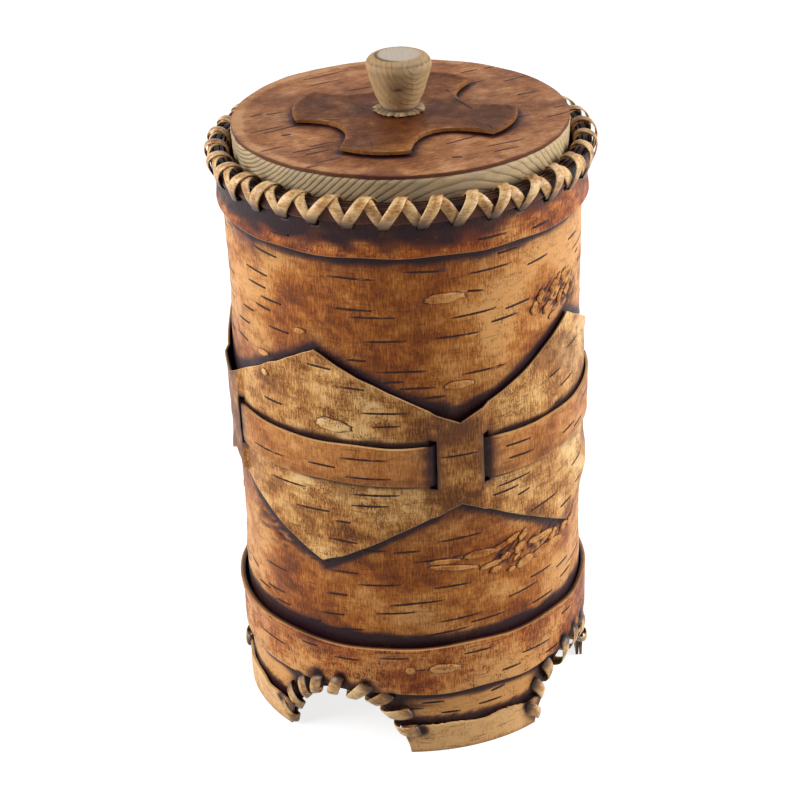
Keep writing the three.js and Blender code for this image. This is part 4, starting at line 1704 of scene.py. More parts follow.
@dataclass
class Lacing:
    """The flat bark laces, whipped round the rim in two strands and round each arch in one.

    The paths tell where a stitch lies along the edge, past it and out from the wall's inner face.
    """

    width: float = 3.1
    thickness: float = 0.42
    rim_outer: float = Hoops.strip_outer
    stitches: int = Hoops.stitches
    first: float = Hoops.first_stitch
    arch_stitches: int = 9
    first_share: float = 0.1
    depth: float = 5.0
    lead: float = 40.0
    arch_wall: float = 1.9
    over_path: Path = (
        (0.0, -5.6, 3.0), (0.0, -5.9, 4.6), (0.1, -5.3, 4.9), (0.45, -4.2, 5.5), (1.1, -2.6, 6.1),
        (2.0, -1.0, 6.3), (2.9, 0.6, 5.9), (3.6, 1.7, 4.8), (4.1, 2.2, 3.3), (4.6, 2.1, 1.8),
        (5.1, 1.2, 0.4), (5.7, -0.2, -0.35), (6.7, -2.4, -0.55), (8.0, -4.5, -0.5),
        (9.0, -5.4, -0.1), (9.24, -5.5, 0.9),
    )
    under_path: Path = (
        (0.0, -5.4, 2.8), (-0.1, -5.6, 4.0), (-0.4, -4.9, 4.75), (-1.0, -3.6, 5.2),
        (-1.9, -1.9, 5.4), (-2.9, -0.2, 5.2), (-3.7, 1.0, 4.5), (-4.3, 1.6, 3.2),
        (-4.6, 1.5, 1.9), (-4.9, 0.9, 0.6), (-5.3, -0.3, -0.15), (-6.3, -2.2, -0.3),
        (-7.8, -4.3, -0.3), (-8.9, -5.2, 0.0), (-9.24, -5.3, 0.9),
    )
    arch_path: Path = (
        (0.0, -4.9, 0.5), (0.05, -5.2, 1.9), (0.35, -4.6, 2.9), (0.9, -3.1, 3.4), (1.8, -1.2, 3.4),
        (2.7, 0.4, 2.8), (3.2, 1.2, 1.7), (3.7, 1.3, 0.6), (4.1, 0.8, -0.3), (4.7, -0.8, -0.8),
        (5.3, -3.0, -0.9), (5.8, -4.8, -0.6), (6.0, -5.2, 0.4),
    )

    def build(self) -> None:
        """Builds and dresses the two rim strands and the four arch laces."""
        tree = whipping_tree()
        start, end = -self.lead, float(WALL.arc_of(FULL_TURN)) + self.lead
        pitch = FULL_TURN / self.stitches
        spots = [float(WALL.arc_of(self.first + k * pitch)) - start for k in range(self.stitches)]
        for name, path, seed, sway, swell in (
            ("over", self.over_path, 5, 0.10, 0.08), ("under", self.under_path, 9, 0.06, 0.05),
        ):
            thick = self.rim_outer - WALL.liner_inner
            strand = Strand(f"rim_lace_{name}", path, thick, WALL.liner_inner, sway, swell, seed)
            walls = [self.rim_outer] * self.stitches
            self.whip(strand, [(start, WALL.rim), (end, WALL.rim)], spots, walls, tree)

        for k in range(QUARTERS):
            points = self.arch_points(k)
            spots = self.arch_spots(points)
            walls = [
                WALL.hoop_outer if height > WALL.bottom_hoop_low
                else Feet.outer if height < Feet.height else WALL.radius + 0.3
                for _, height in self.placed(points, -self.depth)
            ]
            pitch = (spots[1] - spots[0]) / 6.0
            path = [(u * pitch, v, r) for u, v, r in self.arch_path]
            name = f"arch_lace_{k + 1}"
            strand = Strand(name, path, self.arch_wall, WALL.wrap_inner, 0.12, 0.1, 20 + k, 24)
            self.whip(strand, points, spots, walls, tree)

    def arch_points(self, quarter: int) -> list[tuple[float, float]]:
        """Gives arc and height of points along an arch's edge, from its greater turn on.

        Args:
            quarter: the number of the arch, 0 for the one at +X.

        Returns:
            The points.
        """
        middle = float(WALL.arc_of(QUARTER_TURN * quarter))
        points = []
        for swing in np.linspace(math.pi / 2, -math.pi / 2, 121):
            across = abs(math.sin(swing)) ** (2 / ARCHES.shoulder)
            up = max(math.cos(swing), 0) ** (2 / ARCHES.crown)
            points.append((middle + math.copysign(across * ARCHES.width / 2, swing), up * ARCHES.rise))
        return points

    def arch_spots(self, points: Spots) -> list[float]:
        """Gives the distance along an arch's edge of each stitch."""
        length = float(np.linalg.norm(np.diff(np.array(points), axis=0), axis=1).sum())
        return list(length * np.linspace(self.first_share, 1 - self.first_share, self.arch_stitches))

    def placed(self, points: Spots, past: float) -> list[tuple[float, float]]:
        """Gives arc and height of each stitch's place past an arch's edge.

        Args:
            points: arc and height of points along the edge.
            past: how far past the edge, below 0 into the bark.

        Returns:
            The places.
        """
        line = np.array(points)
        run = np.concatenate([[0], np.cumsum(np.linalg.norm(np.diff(line, axis=0), axis=1))])
        spots = np.array(self.arch_spots(points))
        here, ahead = (
            np.stack([np.interp(spots + s, run, line[:, i]) for i in (0, 1)], -1) for s in (-0.3, 0.3)
        )
        way = (ahead - here) / np.linalg.norm(ahead - here, axis=1)[:, None]
        out = np.stack([-way[:, 1], way[:, 0]], -1)
        return [tuple(map(float, p)) for p in (here + ahead) / 2 + out * past]

    def holes(self) -> list[tuple[float, float]]:
        """Gives turn and height of every hole that an arch's lace comes out of.

        Returns:
            The holes.
        """
        past = self.arch_path[0][1] - 0.4
        arches = [self.placed(self.arch_points(k), past) for k in range(QUARTERS)]
        return [(WALL.turn_of(arc), height) for arch in arches for arc, height in arch]

    def whip(
        self, strand: Strand, points: Spots, spots: Sequence[float],
        walls: Sequence[float], tree: NodeTree,
    ) -> None:
        """Whips one lace round an edge and dresses it.

        Args:
            strand: the lace.
            points: arc and height of points along the edge.
            spots: each stitch's distance along the edge.
            walls: the outer radius at each stitch.
            tree: the Geometry Nodes tree.
        """
        edge = edge_curve("edge", points)
        stitch = ribbon("stitch", strand.path, strand.wall, self.width, self.thickness, strand.samples)
        row = mesh_object("row", np.array([(s, 0, 0) for s in spots]), [], {"wall": np.array(walls) * MM})
        piece = grown(f"{strand.node}_bark", row, tree, {
            "Stitch": stitch, "Edge": edge, "Radius": WALL.radius * MM, "Inner": strand.inner * MM,
            "Sway": strand.sway, "Swell": strand.swell, "Seed": strand.seed,
            "Finish": LACE_BARK.material(),
        })
        for helper in (stitch, edge):
            bpy.data.objects.remove(helper)
        dress(piece, LACE_BARK, "canister", "lace_bark", strand.node)


# Lid

def cut_plate(
    name: str, outline: Array, step: float, low: Field, high: Field, stain: Field, pale: Field,
) -> Object:
    """Cuts a thin plate to an outline, with a fine mesh and a narrow row along its edge.

    Args:
        name: the piece's name.
        outline: x and y of the outline's points, anticlockwise.
        step: the size of the mesh's triangles.
        low: the height of the under face by x and y.
        high: the height of the upper face by x and y.
        stain: the stain on the upper face by x and y.
        pale: the rubbed places by x and y.

    Returns:
        The object.
    """
    ahead = np.roll(outline, -1, axis=0) - np.roll(outline, 1, axis=0)
    ahead /= np.linalg.norm(ahead, axis=1)[:, None]
    inset = outline + np.stack([-ahead[:, 1], ahead[:, 0]], -1) * EDGE_ROW
    least, most = outline.min(0), outline.max(0)
    xs, ys = np.meshgrid(np.arange(least[0], most[0], step), np.arange(least[1], most[1], step * 0.87))
    xs = xs + (np.arange(xs.shape[0]) % 2)[:, None] * step / 2
    grid = np.stack([xs.ravel(), ys.ravel()], -1)
    away = np.min(np.linalg.norm(grid[:, None, :] - outline[None, ::2, :], axis=2), axis=1)
    points = np.vstack([outline, inset, grid[away > step * 0.9]])
    found = delaunay_2d_cdt([Vector(p) for p in points], [], [list(range(len(outline)))], 1, 1e-5)
    flat = np.array([(p.x, p.y) for p in found[0]])
    faces = []
    for a, b, c in found[2]:
        first, second = flat[b] - flat[a], flat[c] - flat[a]
        area = first[0] * second[1] - first[1] * second[0]
        if abs(area) > 1e-9:
            faces.append([a, b, c] if area > 0 else [c, b, a])
    x, y = flat[:, 0], flat[:, 1]
    total = len(flat)
    directed = {(f[k], f[(k + 1) % 3]) for f in faces for k in range(3)}
    border = [(a, b) for a, b in directed if (b, a) not in directed]
    on_edge = np.zeros(total)
    on_edge[[a for a, _ in border]] = 1
    upper = np.stack([x, y, high(x, y) - 0.12 * on_edge], -1)
    lower = np.stack([x, y, low(x, y)], -1)
    shell = list(faces)
    shell += [[v + total for v in f[::-1]] for f in faces]
    shell += [[b, a, a + total, b + total] for a, b in border]
    smooth = [True] * (2 * len(faces)) + [False] * len(border)
    return mesh_object(name, np.vstack([upper, lower]), shell, {
        "stain": np.tile(stain(x, y), 2), "pale": np.tile(pale(x, y), 2),
        "edge": np.tile(on_edge, 2),
    }, smooth)


@dataclass(frozen=True)
class Arm:
    """One arm of the ornament: the turns of its corners, its reach, and the bite after it."""

    start: float
    end: float
    reach: float
    bite: float


@dataclass
class Lid:
    """The plug of wood, the bark on it, the cut ornament and the turned knob."""

    plug_low: float = 160.3
    plug_high: float = 176.9
    plug_low_radius: float = 45.95
    plug_high_radius: float = 46.94
    bark_radius: float = 46.8
    bark_low: float = 176.95
    bark_high: float = 178.05
    cross_low: float = 178.12
    cross_high: float = 179.15
    bulge: float = 0.9
    knob_low: float = 179.3
    knob_high: float = 195.05
    arms: tuple[Arm, ...] = (
        Arm(-14, 25, 32, 18.2), Arm(73, 115, 30.8, 16.8), Arm(171, 218, 29, 20.2),
        Arm(265.5, 299.5, 32.8, 19.4),
    )

    def cross_outline(self, step: float = 0.9) -> Array:
        """Gives the ornament's outline: a bowed end for each arm and a bite between each two.

        Args:
            step: about how far its points stand apart, in millimetres.

        Returns:
            The x and y of its points, anticlockwise.
        """
        bows = []
        for arm, after in zip(self.arms, self.arms[1:] + self.arms[:1]):
            on = after.start + (FULL_TURN if after is self.arms[0] else 0.0)
            bows.append((arm.start, arm.reach, arm.reach + self.bulge, arm.end, arm.reach))
            bows.append((arm.end, arm.reach, arm.bite, on, after.reach))
        points = []
        for start, reach, middle_reach, end, end_reach in bows:
            turns = np.array([start, (start + end) / 2, end])
            first, middle, last = roll_up(turns, np.array([reach, middle_reach, end_reach]), 0 * turns)[:, :2]
            pull = 2 * middle - (first + last) / 2
            parts = max(4, round(float(np.linalg.norm(middle - first)) * 2 / step))
            for t in np.linspace(0, 1, parts, endpoint=False):
                points.append(first * (1 - t) ** 2 + pull * 2 * t * (1 - t) + last * t ** 2)
        outline = np.array(points)
        return outline + np.random.default_rng(81).normal(0, 0.06, outline.shape)

    def from_cross(self, x: Array, y: Array) -> Array:
        """Gives the distance outside the ornament's outline, below zero inside it.

        Args:
            x: millimetres along the lid's +X.
            y: millimetres along its +Y.

        Returns:
            The distance in millimetres.
        """
        outline = self.cross_outline(1.4)
        away = np.min(np.hypot(x[:, None] - outline[:, 0], y[:, None] - outline[:, 1]), axis=1)
        ax, ay = outline[:, 0], outline[:, 1]
        bx, by = np.roll(ax, -1), np.roll(ay, -1)
        spans = (ay > y[:, None]) != (by > y[:, None])
        cut_at = ax + (y[:, None] - ay) * (bx - ax) / np.where(by == ay, 1e-9, by - ay)
        inside = np.sum(spans & (x[:, None] < cut_at), axis=1) % 2 == 1
        return np.where(inside, -away, away)

    def build(self) -> dict[str, Object]:
        """Builds and dresses the lid's four pieces.

        Returns:
            The bark disc and the ornament by name, for the marks on them.
        """
        plug = lathe("lid_disc_wood", [
            (0.0, self.plug_low), (self.plug_low_radius - 0.5, self.plug_low),
            (self.plug_low_radius, self.plug_low + 0.5),
            (self.plug_high_radius, self.plug_high - 0.35),
            (self.plug_high_radius - 0.35, self.plug_high), (0.0, self.plug_high),
        ], 300, 0.9, shape=self.saw_marks, stain=self.blue_stain)
        dress(plug, LID_WOOD, "lid", "pale_wood", "lid_disc")

        turn = np.linspace(0, FULL_TURN, 300, endpoint=False)
        radius = self.bark_radius + Ripple(size=14, height=0.05, seed=82).at(turn, 0)
        outline = roll_up(turn, radius, 0 * turn)[:, :2]
        swell = Ripple(size=30, height=0.1, seed=83)
        disc = cut_plate(
            "lid_bark_disc", outline, 1.1,
            low=lambda x, y: np.full(x.shape, self.bark_low),
            high=lambda x, y: self.bark_high + swell.at(x * 2.0, y) * 0.6
            - 0.12 * beside(-self.from_cross(x, y) + 0.4, 0.5),
            stain=self.bark_stain,
            pale=lambda x, y: fade(np.hypot(x, y) - 2 * (x < 0), 41.2, 42.4) * (0.15 + 0.3 * (x < 0)),
        )
        dress(disc, LID_BARK, "lid", "lid_bark", "lid_bark")

        ornament = cut_plate(
            "lid_cross_bark", self.cross_outline(), 0.95,
            low=lambda x, y: self.cross_low + self.curl(x, y),
            high=lambda x, y: self.cross_high + self.curl(x, y) + swell.at(x * 3.0, y) * 0.8,
            # The ornament is painted paler along its edges, a painted highlight.
            stain=self.cross_stain, pale=lambda x, y: fade(self.from_cross(x, y), -1.6, 0) * 0.35,
        )
        dress(ornament, CROSS_BARK, "lid", "lid_bark", "lid_cross")

        low, top = self.knob_low, self.knob_high
        profile = [
            (0.0, low), (6.5, low), (7.1, low + 0.3), (6.4, low + 0.6), (5.5, low + 0.75),
            (4.95, low + 0.8), (4.95, low + 1.1), (5.3, low + 1.9), (5.9, 182.6), (6.57, 184.0),
            (7.2, 185.8), (7.78, 187.6), (8.3, 189.2), (8.8, 191.0), (9.0, 192.1), (8.92, 193.0),
            (8.6, 193.8), (8.1, 194.4), (7.2, 194.85), (6.4, top - 0.03), (6.1, top), (0.0, top),
        ]
        knob = lathe(
            "knob_turned", profile, 80, 0.45, shape=self.knob_shape, stain=self.knob_stain,
            pale=lambda t, r, z: (z > top - 0.1) * fade(-r, -6.6, -5.2) * 0.7
            + (z < low + 0.7) * (r > 5.2) * fade(STAIN_RIPPLE.at(t * 4, z), 0, 0.25) * 0.4,
        )
        dress(knob, KNOB_WOOD, "lid", "knob_wood", "knob")
        return {"lid": disc, "cross": ornament}

    def curl(self, x: Array, y: Array) -> Array:
        """Gives how far the ornament's edges stand up from the bark."""
        tips = fade(np.hypot(x, y), 17, 31) * 0.22
        return fade(self.from_cross(x, y), -3.0, 0) * (0.12 + tips) + tips * 0.6

    def saw_marks(self, turn: Array, radius: Array, height: Array) -> tuple[Array, Array]:
        """Roughens the plug's side a little."""
        rough = Ripple(size=3, height=0.04, seed=84, stretch=0.5, waves=30).at(turn, height)
        return radius + rough * (radius > 44), height

    def blue_stain(self, turn: Array, radius: Array, height: Array) -> Array:
        """Gives the grime in the end grain, the blue-grey patch in it and the darkening just above the rim.

        Args:
            turn: degrees round the wall.
            radius: millimetres from the axis.
            height: millimetres up the wall.

        Returns:
            The stain, 1 where it is full.
        """
        end_grain = beside(np.abs(turn_between(turn, WALL.camera_turn - 45)) - 42, 9) * 0.62
        away = np.abs(turn_between(turn, WALL.camera_turn - 27))
        uneven = Ripple(size=4, height=0.5, seed=85, stretch=0.8).at(turn, height)
        patch = beside(away - 7, 5) * fade(uneven, -0.3, 0.6) * 0.7
        return together(end_grain, patch, beside(height - 171.5, 1.4) * 0.55)

    def bark_stain(self, x: Array, y: Array) -> Array:
        """Gives the painted shadow and stain beside the ornament and the stain in streaks along the
        bark.

        Args:
            x: millimetres along the lid's +X.
            y: millimetres along its +Y.

        Returns:
            The stain, 1 where it is full.
        """
        away = self.from_cross(x, y)
        way = math.radians(53)
        along, across = x * math.cos(way) + y * math.sin(way), y * math.cos(way) - x * math.sin(way)
        streaks = fade(Ripple(size=9, height=0.5, seed=88, stretch=5).at(across * 3, along * 0.3), 0.35, 1.1)
        # Beside the ornament: a dark line and haze, painted shadow of its raised edge with stain.
        near = together(band(away, 0.5, 1.1), beside(away - 0.5, 2.2) * 0.5)
        rim = beside(self.bark_radius - np.hypot(x, y), 0.5) * 0.4
        return together(near, streaks * 0.3, rim)

    def cross_stain(self, x: Array, y: Array) -> Array:
        """Gives the stain on the ornament, strongest round the knob."""
        near = fade(-np.hypot(x, y), -20, -8) * 0.42
        return np.clip(near + 0.08 + STAIN_RIPPLE.at(x * 3.0, y) * 0.4, 0, 1)

    def knob_shape(self, turn: Array, radius: Array, height: Array) -> tuple[Array, Array]:
        """Makes the turned knob a little uneven and tears the fibres round its foot.

        Args:
            turn: degrees round the wall.
            radius: millimetres from the axis.
            height: millimetres up the wall.

        Returns:
            The changed radius and height.
        """
        collar = (height < self.knob_low + 0.78) & (radius > 5.2)
        torn = Ripple(size=5.0, height=0.42, seed=86, waves=40).at(turn * 5, height)
        even = Ripple(size=9, height=0.06, seed=87, stretch=0.3).at(turn, height)
        lifted = collar * (height > self.knob_low + 0.1) * np.clip(torn, -0.3, 0.9) * 0.35
        return radius + np.where(collar, torn, even * (radius > 3)), height + lifted

    def knob_stain(self, turn: Array, radius: Array, height: Array) -> Array:
        """Gives the knob's dark knot, the darker neck at its foot, its rubbed shoulder and its worn top.

        Args:
            turn: degrees round the wall.
            radius: millimetres from the axis.
            height: millimetres up the wall.

        Returns:
            The stain, 1 where it is full.
        """
        across = WALL.arc_of(turn_between(turn, WALL.camera_turn - 2)) * radius / WALL.radius
        knot = np.exp(-(across / 1.6) ** 2 - ((height - 187.4) / 0.42) ** 2)
        shade = np.exp(-(across / 3.4) ** 2 - ((height - 187.9) / 1.3) ** 2) * 0.3
        foot = beside(np.abs(height - self.knob_low - 1.0) - 0.2, 0.4) * (radius < 5.4) * 0.9
        shoulder = np.exp(-((height - 193.9) / 0.25) ** 2) * (0.45 + STAIN_RIPPLE.at(turn, 0) * 0.8)
        ring = np.exp(-((height - 191.6) / 0.8) ** 2) * 0.16
        left = fade(np.cos(np.radians(turn_between(turn, WALL.camera_turn - 60))), 0.2, 0.9)
        crescent = left * np.exp(-((radius - 6.1) / 0.5) ** 2) * (height > 194.7) * 0.95
        collar = (radius > 5.2) * (height < self.knob_low + 0.9)
        collar = collar * np.clip(0.38 + 1.4 * STAIN_RIPPLE.at(turn * 3 + 50, height), 0, 0.85)
        return together(knot, shade, foot, shoulder, ring, crescent, collar)


# Marks in the bark

def lens_shape(name: str, segments: int, rings: Spots, power: float, wobble: float, pale: float) -> Object:
    """Makes the closed shape of a mark, one unit long, tall and proud, before it is laid down.

    Args:
        name: the object's name.
        segments: the number of points round it.
        rings: the share of the outline and the rise of each ring, from the middle outwards.
        power: how its ends taper, under 1 for a bar and over 1 for a lens.
        wobble: how uneven its outline is.
        pale: how much lighter its middle is rubbed.

    Returns:
        The shape, with the marks stain, pale and edge.
    """
    angle = np.linspace(0, 2 * math.pi, segments, endpoint=False)
    uneven = 1 + np.random.default_rng(95).uniform(-wobble, wobble, segments)
    x = 0.5 * np.cos(angle) * uneven
    z = 0.5 * np.sign(np.sin(angle)) * np.abs(np.sin(angle)) ** power * uneven
    points, stain, light = [(0.0, -rings[0][1], 0.0)], [0.0], [pale]
    for share, rise in rings:
        points += [(a * share, -rise, b * share) for a, b in zip(x, z)]
        stain += [max(0.0, share * 6 - 5)] * segments
        light += [pale * min(1.0, 6 - share * 6)] * segments
    points += [(a * 0.9, 0.6, b * 0.9) for a, b in zip(x, z)]
    stain += [1.0] * segments
    light += [0.0] * segments
    faces = []
    for k in range(segments):
        after = (k + 1) % segments
        faces.append([0, 1 + k, 1 + after])
        for ring in range(len(rings)):
            base, up = 1 + ring * segments, 1 + (ring + 1) * segments
            faces.append([base + k, up + k, up + after, base + after])
    last = 1 + len(rings) * segments
    faces.append([last + k for k in range(segments)][::-1])
    return mesh_object(name, np.array(points) / MM, faces, {
        "stain": np.array(stain), "pale": np.array(light), "edge": np.zeros(len(points)),
    })


@dataclass(frozen=True)
class Mark:
    """A mark's turn and height on the wall, or x and y on the lid, its length, tilt and tall."""

    first: float
    second: float
    length: float
    tilt: float = 0.0
    tall: float = 0.76


@dataclass
class Marks:
    """The birch's pores, and the raised scabs that branches and wounds left in its bark.

    The ones that the eye meets first lie where the canister has them, and the rest are strewn.
    """

    pore_rise: float = 0.06
    scab_rise: float = 0.5

    def lay(
        self, name: str, marks: Sequence[Mark], shape: Object, sheet: Object,
        tree: NodeTree, level: float, rise: float, finish: Finish,
    ) -> None:
        """Lays marks on one sheet as one piece.

        Args:
            name: the piece's name.
            marks: where they lie.
            shape: the shape of one mark.
            sheet: the sheet of bark that carries them.
            tree: the tree for the sheet's kind of surface.
            level: the sheet's radius or height.
            rise: how far the marks stand proud.
            finish: their finish.
        """
        on_lid = sheet.name.startswith("lid")
        row = mesh_object("spots", np.array([
            (m.first, m.second, level) if on_lid else (math.radians(m.first) * level, 0, m.second)
            for m in marks
        ]), [], {
            "length": [m.length * MM for m in marks], "tall": [m.tall * MM for m in marks],
            "tilt": [math.radians(m.tilt) for m in marks],
        })
        piece = grown(name, row, tree, {
            "Shape": shape, "Sheet": sheet, "Radius": level * MM, "Rise": rise * MM,
            "Finish": finish.material(),
        })
        # top_hoop_pores, for one, lie on hoop_bark
        slot = "lid_bark" if on_lid else f"{name.split('_')[-2]}_bark"
        dress(piece, finish, "lid" if on_lid else "canister", slot)

    def strewn(
        self, seed: int, count: int, heights: tuple[float, float],
        allowed: Callable[[float, float, float], bool], taken: Sequence[Mark],
    ) -> list[Mark]:
        """Strews pores that keep clear of each other, on the side with no given ones.

        Args:
            seed: what their places are drawn from.
            count: how many are tried.
            heights: the range of heights.
            allowed: tells whether a pore of a half length fits at a turn and height.
            taken: pores that lie there already.

        Returns:
            The new pores.
        """
        rng = np.random.default_rng(seed)
        placed, fresh = list(taken), []
        for _ in range(count):
            turn = WALL.camera_turn + rng.uniform(70, 290)
            height = rng.uniform(*heights)
            length = float(np.clip(rng.lognormal(2.05, 0.45), 3.0, 17.0))
            half = WALL.turn_of(length / 2)
            clear = not any(
                abs(height - m.second) < 1.9
                and abs(turn_between(turn, m.first)) < half + WALL.turn_of(m.length / 2) + 1.0
                for m in placed
            )
            if clear and allowed(turn, height, half):
                mark = Mark(turn, height, length, rng.normal(0, 1.6), rng.uniform(0.4, 0.75))
                placed.append(mark)
                fresh.append(mark)
        return fresh

    def build(self, sheets: dict[str, Object]) -> None:
        """Lays the pores and the scabs on every sheet that shows them.

        Args:
            sheets: the sheets of bark by name.
        """
        pore = lens_shape("pore", 12, ((0.6, 1.0), (1.0, 0.0)), 0.5, 0.06, 0.0)
        scab = lens_shape(
            "scab", 24, ((0.3, 0.8), (0.6, 1.0), (0.84, 0.8), (0.94, 0.25), (1.0, 0.0)), 0.85, 0.12, 0.4,
        )
        on_wall, on_lid = marks_tree(Ground.WALL), marks_tree(Ground.LID)
        line, hoop = BELT_LINE, WALL.hoop_outer
        belt, strap = line.low + line.thickness, line.high + line.thickness
        ends = np.array([-1, 0, 1])
        for number, (key, level, count, heights, fits) in enumerate((
            ("wrap", WALL.radius, 300, (37.5, 155.5), lambda t, z, half: (
                np.all(line.gap(t + half * ends, z) > 1.2)
            )),
            ("belt", belt, 180, (64, 126), lambda t, z, half: (
                abs(z - WALL.belt_middle) > 7 and np.all(line.gap(t + half * ends, z) < -1.2)
                and np.all(line.from_neck(t + half * ends) > line.slot_end() + 1)
            )),
            ("strap", strap, 40, (90.5, 99.5), lambda t, z, half: (
                line.from_neck(t) - half > line.slot_end() + 1
            )),
            ("top_hoop", hoop, 26, (158, 162.5), lambda t, z, half: True),
            ("bottom_hoop", hoop, 40, (25, 34.5), lambda t, z, half: True),
        )):
            marks = [Mark(*row) for row in PORES[key]]
            marks += self.strewn(91 + number, count, heights, fits, marks)
            self.lay(f"{key}_pores", marks, pore, sheets[key], on_wall, level, self.pore_rise, PORE_BARK)
        for key, level, bark in (
            ("wrap", WALL.radius, WRAP_BARK), ("belt", belt, BELT_BARK), ("bottom_hoop", hoop, HOOP_BARK),
        ):
            marks = [Mark(*row) for row in SCABS[key]]
            self.lay(f"{key}_scabs", marks, scab, sheets[key], on_wall, level, self.scab_rise, bark)
        for key, level in (("lid", Lid.bark_high), ("cross", Lid.cross_high)):
            marks = [Mark(*row) for row in PORES[key]]
            self.lay(f"{key}_pores", marks, pore, sheets[key], on_lid, level, self.pore_rise, PORE_BARK)
        for shape in (pore, scab):
            bpy.data.objects.remove(shape)


# Pores that the eye meets first, as turn and height or x and y, length and tilt, and tall if thick
PORES = {
    "wrap": (
        (-114, 152, 11, -4), (-119, 145, 11, -1), (-119, 141, 9, 0), (-112, 138, 9, 0),
        (-116, 135, 7, -3), (-125, 132, 7, 3), (-129, 127, 8, 4), (-132, 121, 9, 1),
        (-109, 130, 8, -1), (-81, 150, 17, 0), (-82, 141, 13, 0), (-75, 139, 17, 1),
        (-72, 132, 13, 1), (-81, 126, 6, 0), (-68, 123, 12, 0), (-70, 120, 7, 1),
        (-64, 118, 5, 0), (-38, 150, 15, 1), (-19, 148, 9, 2), (-59, 152, 12, -3),
        (-43, 144.6, 5, -8), (-44, 138, 16, 1), (-27, 137.4, 10, 3), (-33, 134.6, 9, 2),
        (-49, 132.5, 16, 0), (-63, 123, 7, -1), (-40, 121, 16, 1), (-62, 118, 10, -1),
        (-57, 115, 7, 1), (3, 148, 7, 0), (-31, 154, 8, 2), (-49, 70, 17, 3), (-56, 64, 17, 3),
        (-52, 55, 12, 1), (-118, 52, 11, 5), (-88, 59, 9, 3), (-76, 56, 14, 4), (-91, 51, 7, 4),
        (-68, 50, 9, 5), (-71, 47, 13, 5), (-93, 44, 8, 6), (-87, 40, 9, 6), (-101, 40, 6, 6),
        (-127, 42, 8, 5), (-119, 44, 10, 7), (-115, 41, 7, 6), (-97, 61, 7, 5), (-78, 67, 8, 4),
        (-67, 67, 8, 3), (-62, 50.5, 14, 3), (-50, 44, 15, 3), (-40, 42, 12, 1), (-54, 40, 16, 5),
        (-26, 47, 12, 4), (-18, 50, 10, -1), (-17, 41, 10, 1), (-2, 43, 8, 1), (-5, 47.5, 8, -1),
        (-67, 14.5, 7, 0), (-60, 16.4, 7, 0), (-37, 17, 5, 7), (-40, 13.5, 8, 2),
        (-54, 12.5, 6, -2),
    ),
    "belt": (
        (-93, 123, 8, -1), (-73, 111, 14, 1, 0.8), (-72, 107, 8, 4, 0.7), (-108, 84, 16, 2),
        (-98, 78, 12, 4), (-76, 85.5, 16, 2, 0.8), (-78, 82, 12, 3), (-87, 76, 5, 2),
        (-87, 70, 10, 0), (-112, 108, 8, 1), (-82, 118, 7, 0), (-17, 73, 14, 4), (-31, 85, 13, 3),
        (-27, 80, 5, 8), (-34, 82.5, 9, 4), (-10, 102.5, 4, 2), (-12, 112, 6, 6), (0, 117, 8, 2),
        (-4, 107, 9, 3), (4, 78, 9, 2), (-5, 68, 7, 5), (-49.5, 97.5, 11.5, 1),
    ),
    "strap": (
        (-114, 92.5, 16, 2), (-79, 97, 17, 1), (-78, 91.3, 14, 1), (-93, 93.5, 9, 0),
        (-6, 93, 8, 4), (-29, 93, 9, -1), (-30, 97, 9, 0), (2, 91.5, 8, 2),
    ),
    "top_hoop": ((-104, 160.2, 7, 2), (-38, 160, 9, 1), (-20, 159, 7, 2), (-58, 162, 6, 0)),
    "bottom_hoop": (
        (-22, 27, 13, -3), (-6, 32, 6, -3), (-72, 33, 9, 2), (-120, 28, 14, 1), (-88, 31, 8, 3),
        (-45, 33, 9, 1), (-33, 24, 7, 0), (-63.5, 28.9, 4, 0, 0.4), (-101, 33, 6, 2),
        (-14, 23, 8, 1), (-70, 35.0, 20, 0, 0.25), (-95, 35.0, 16, 0, 0.25),
        (-40, 34.9, 22, 0, 0.25), (-15, 34.9, 18, 0, 0.25),
    ),
    "lid": (
        (-34, 22, 16, 55), (-31, 16, 10, 50), (-19, 15, 8, 46), (4, 39, 6, 53), (8, 44, 3, 49),
        (19, 38, 9, 57), (10, 32, 4, 52), (26, 27, 5, 54), (27, 28, 8, 55), (24, -13, 11, 58),
        (36, -11, 12, 51), (38, -15, 8, 50), (33, 10, 4, 50), (41, 14, 7, 56), (40, 21, 6, 48),
        (-11, -33, 12, 54), (-8, -34, 9, 53), (-10, -29, 8, 52), (-23, -19, 9, 53),
        (-3, -39, 7, 52), (-29, -24, 11, 53), (-25, -22, 13, 56), (-21, -37, 9, 52),
        (-33, -12, 5, 49), (-37, -15, 4, 56), (-5, -45, 5, 53), (-22, -26, 3, 40, 1.2),
        (28, -25, 3, 30, 1.3),
    ),
    "cross": (
        (-12, -1, 7, -38, 0.6), (14, 11, 12, -38), (23, -1, 7, -39, 0.6), (29, -4, 8, -43),
        (6, 19, 3, -42), (4, -27, 3.5, -55), (-14, -14, 5, 20),
    ),
}

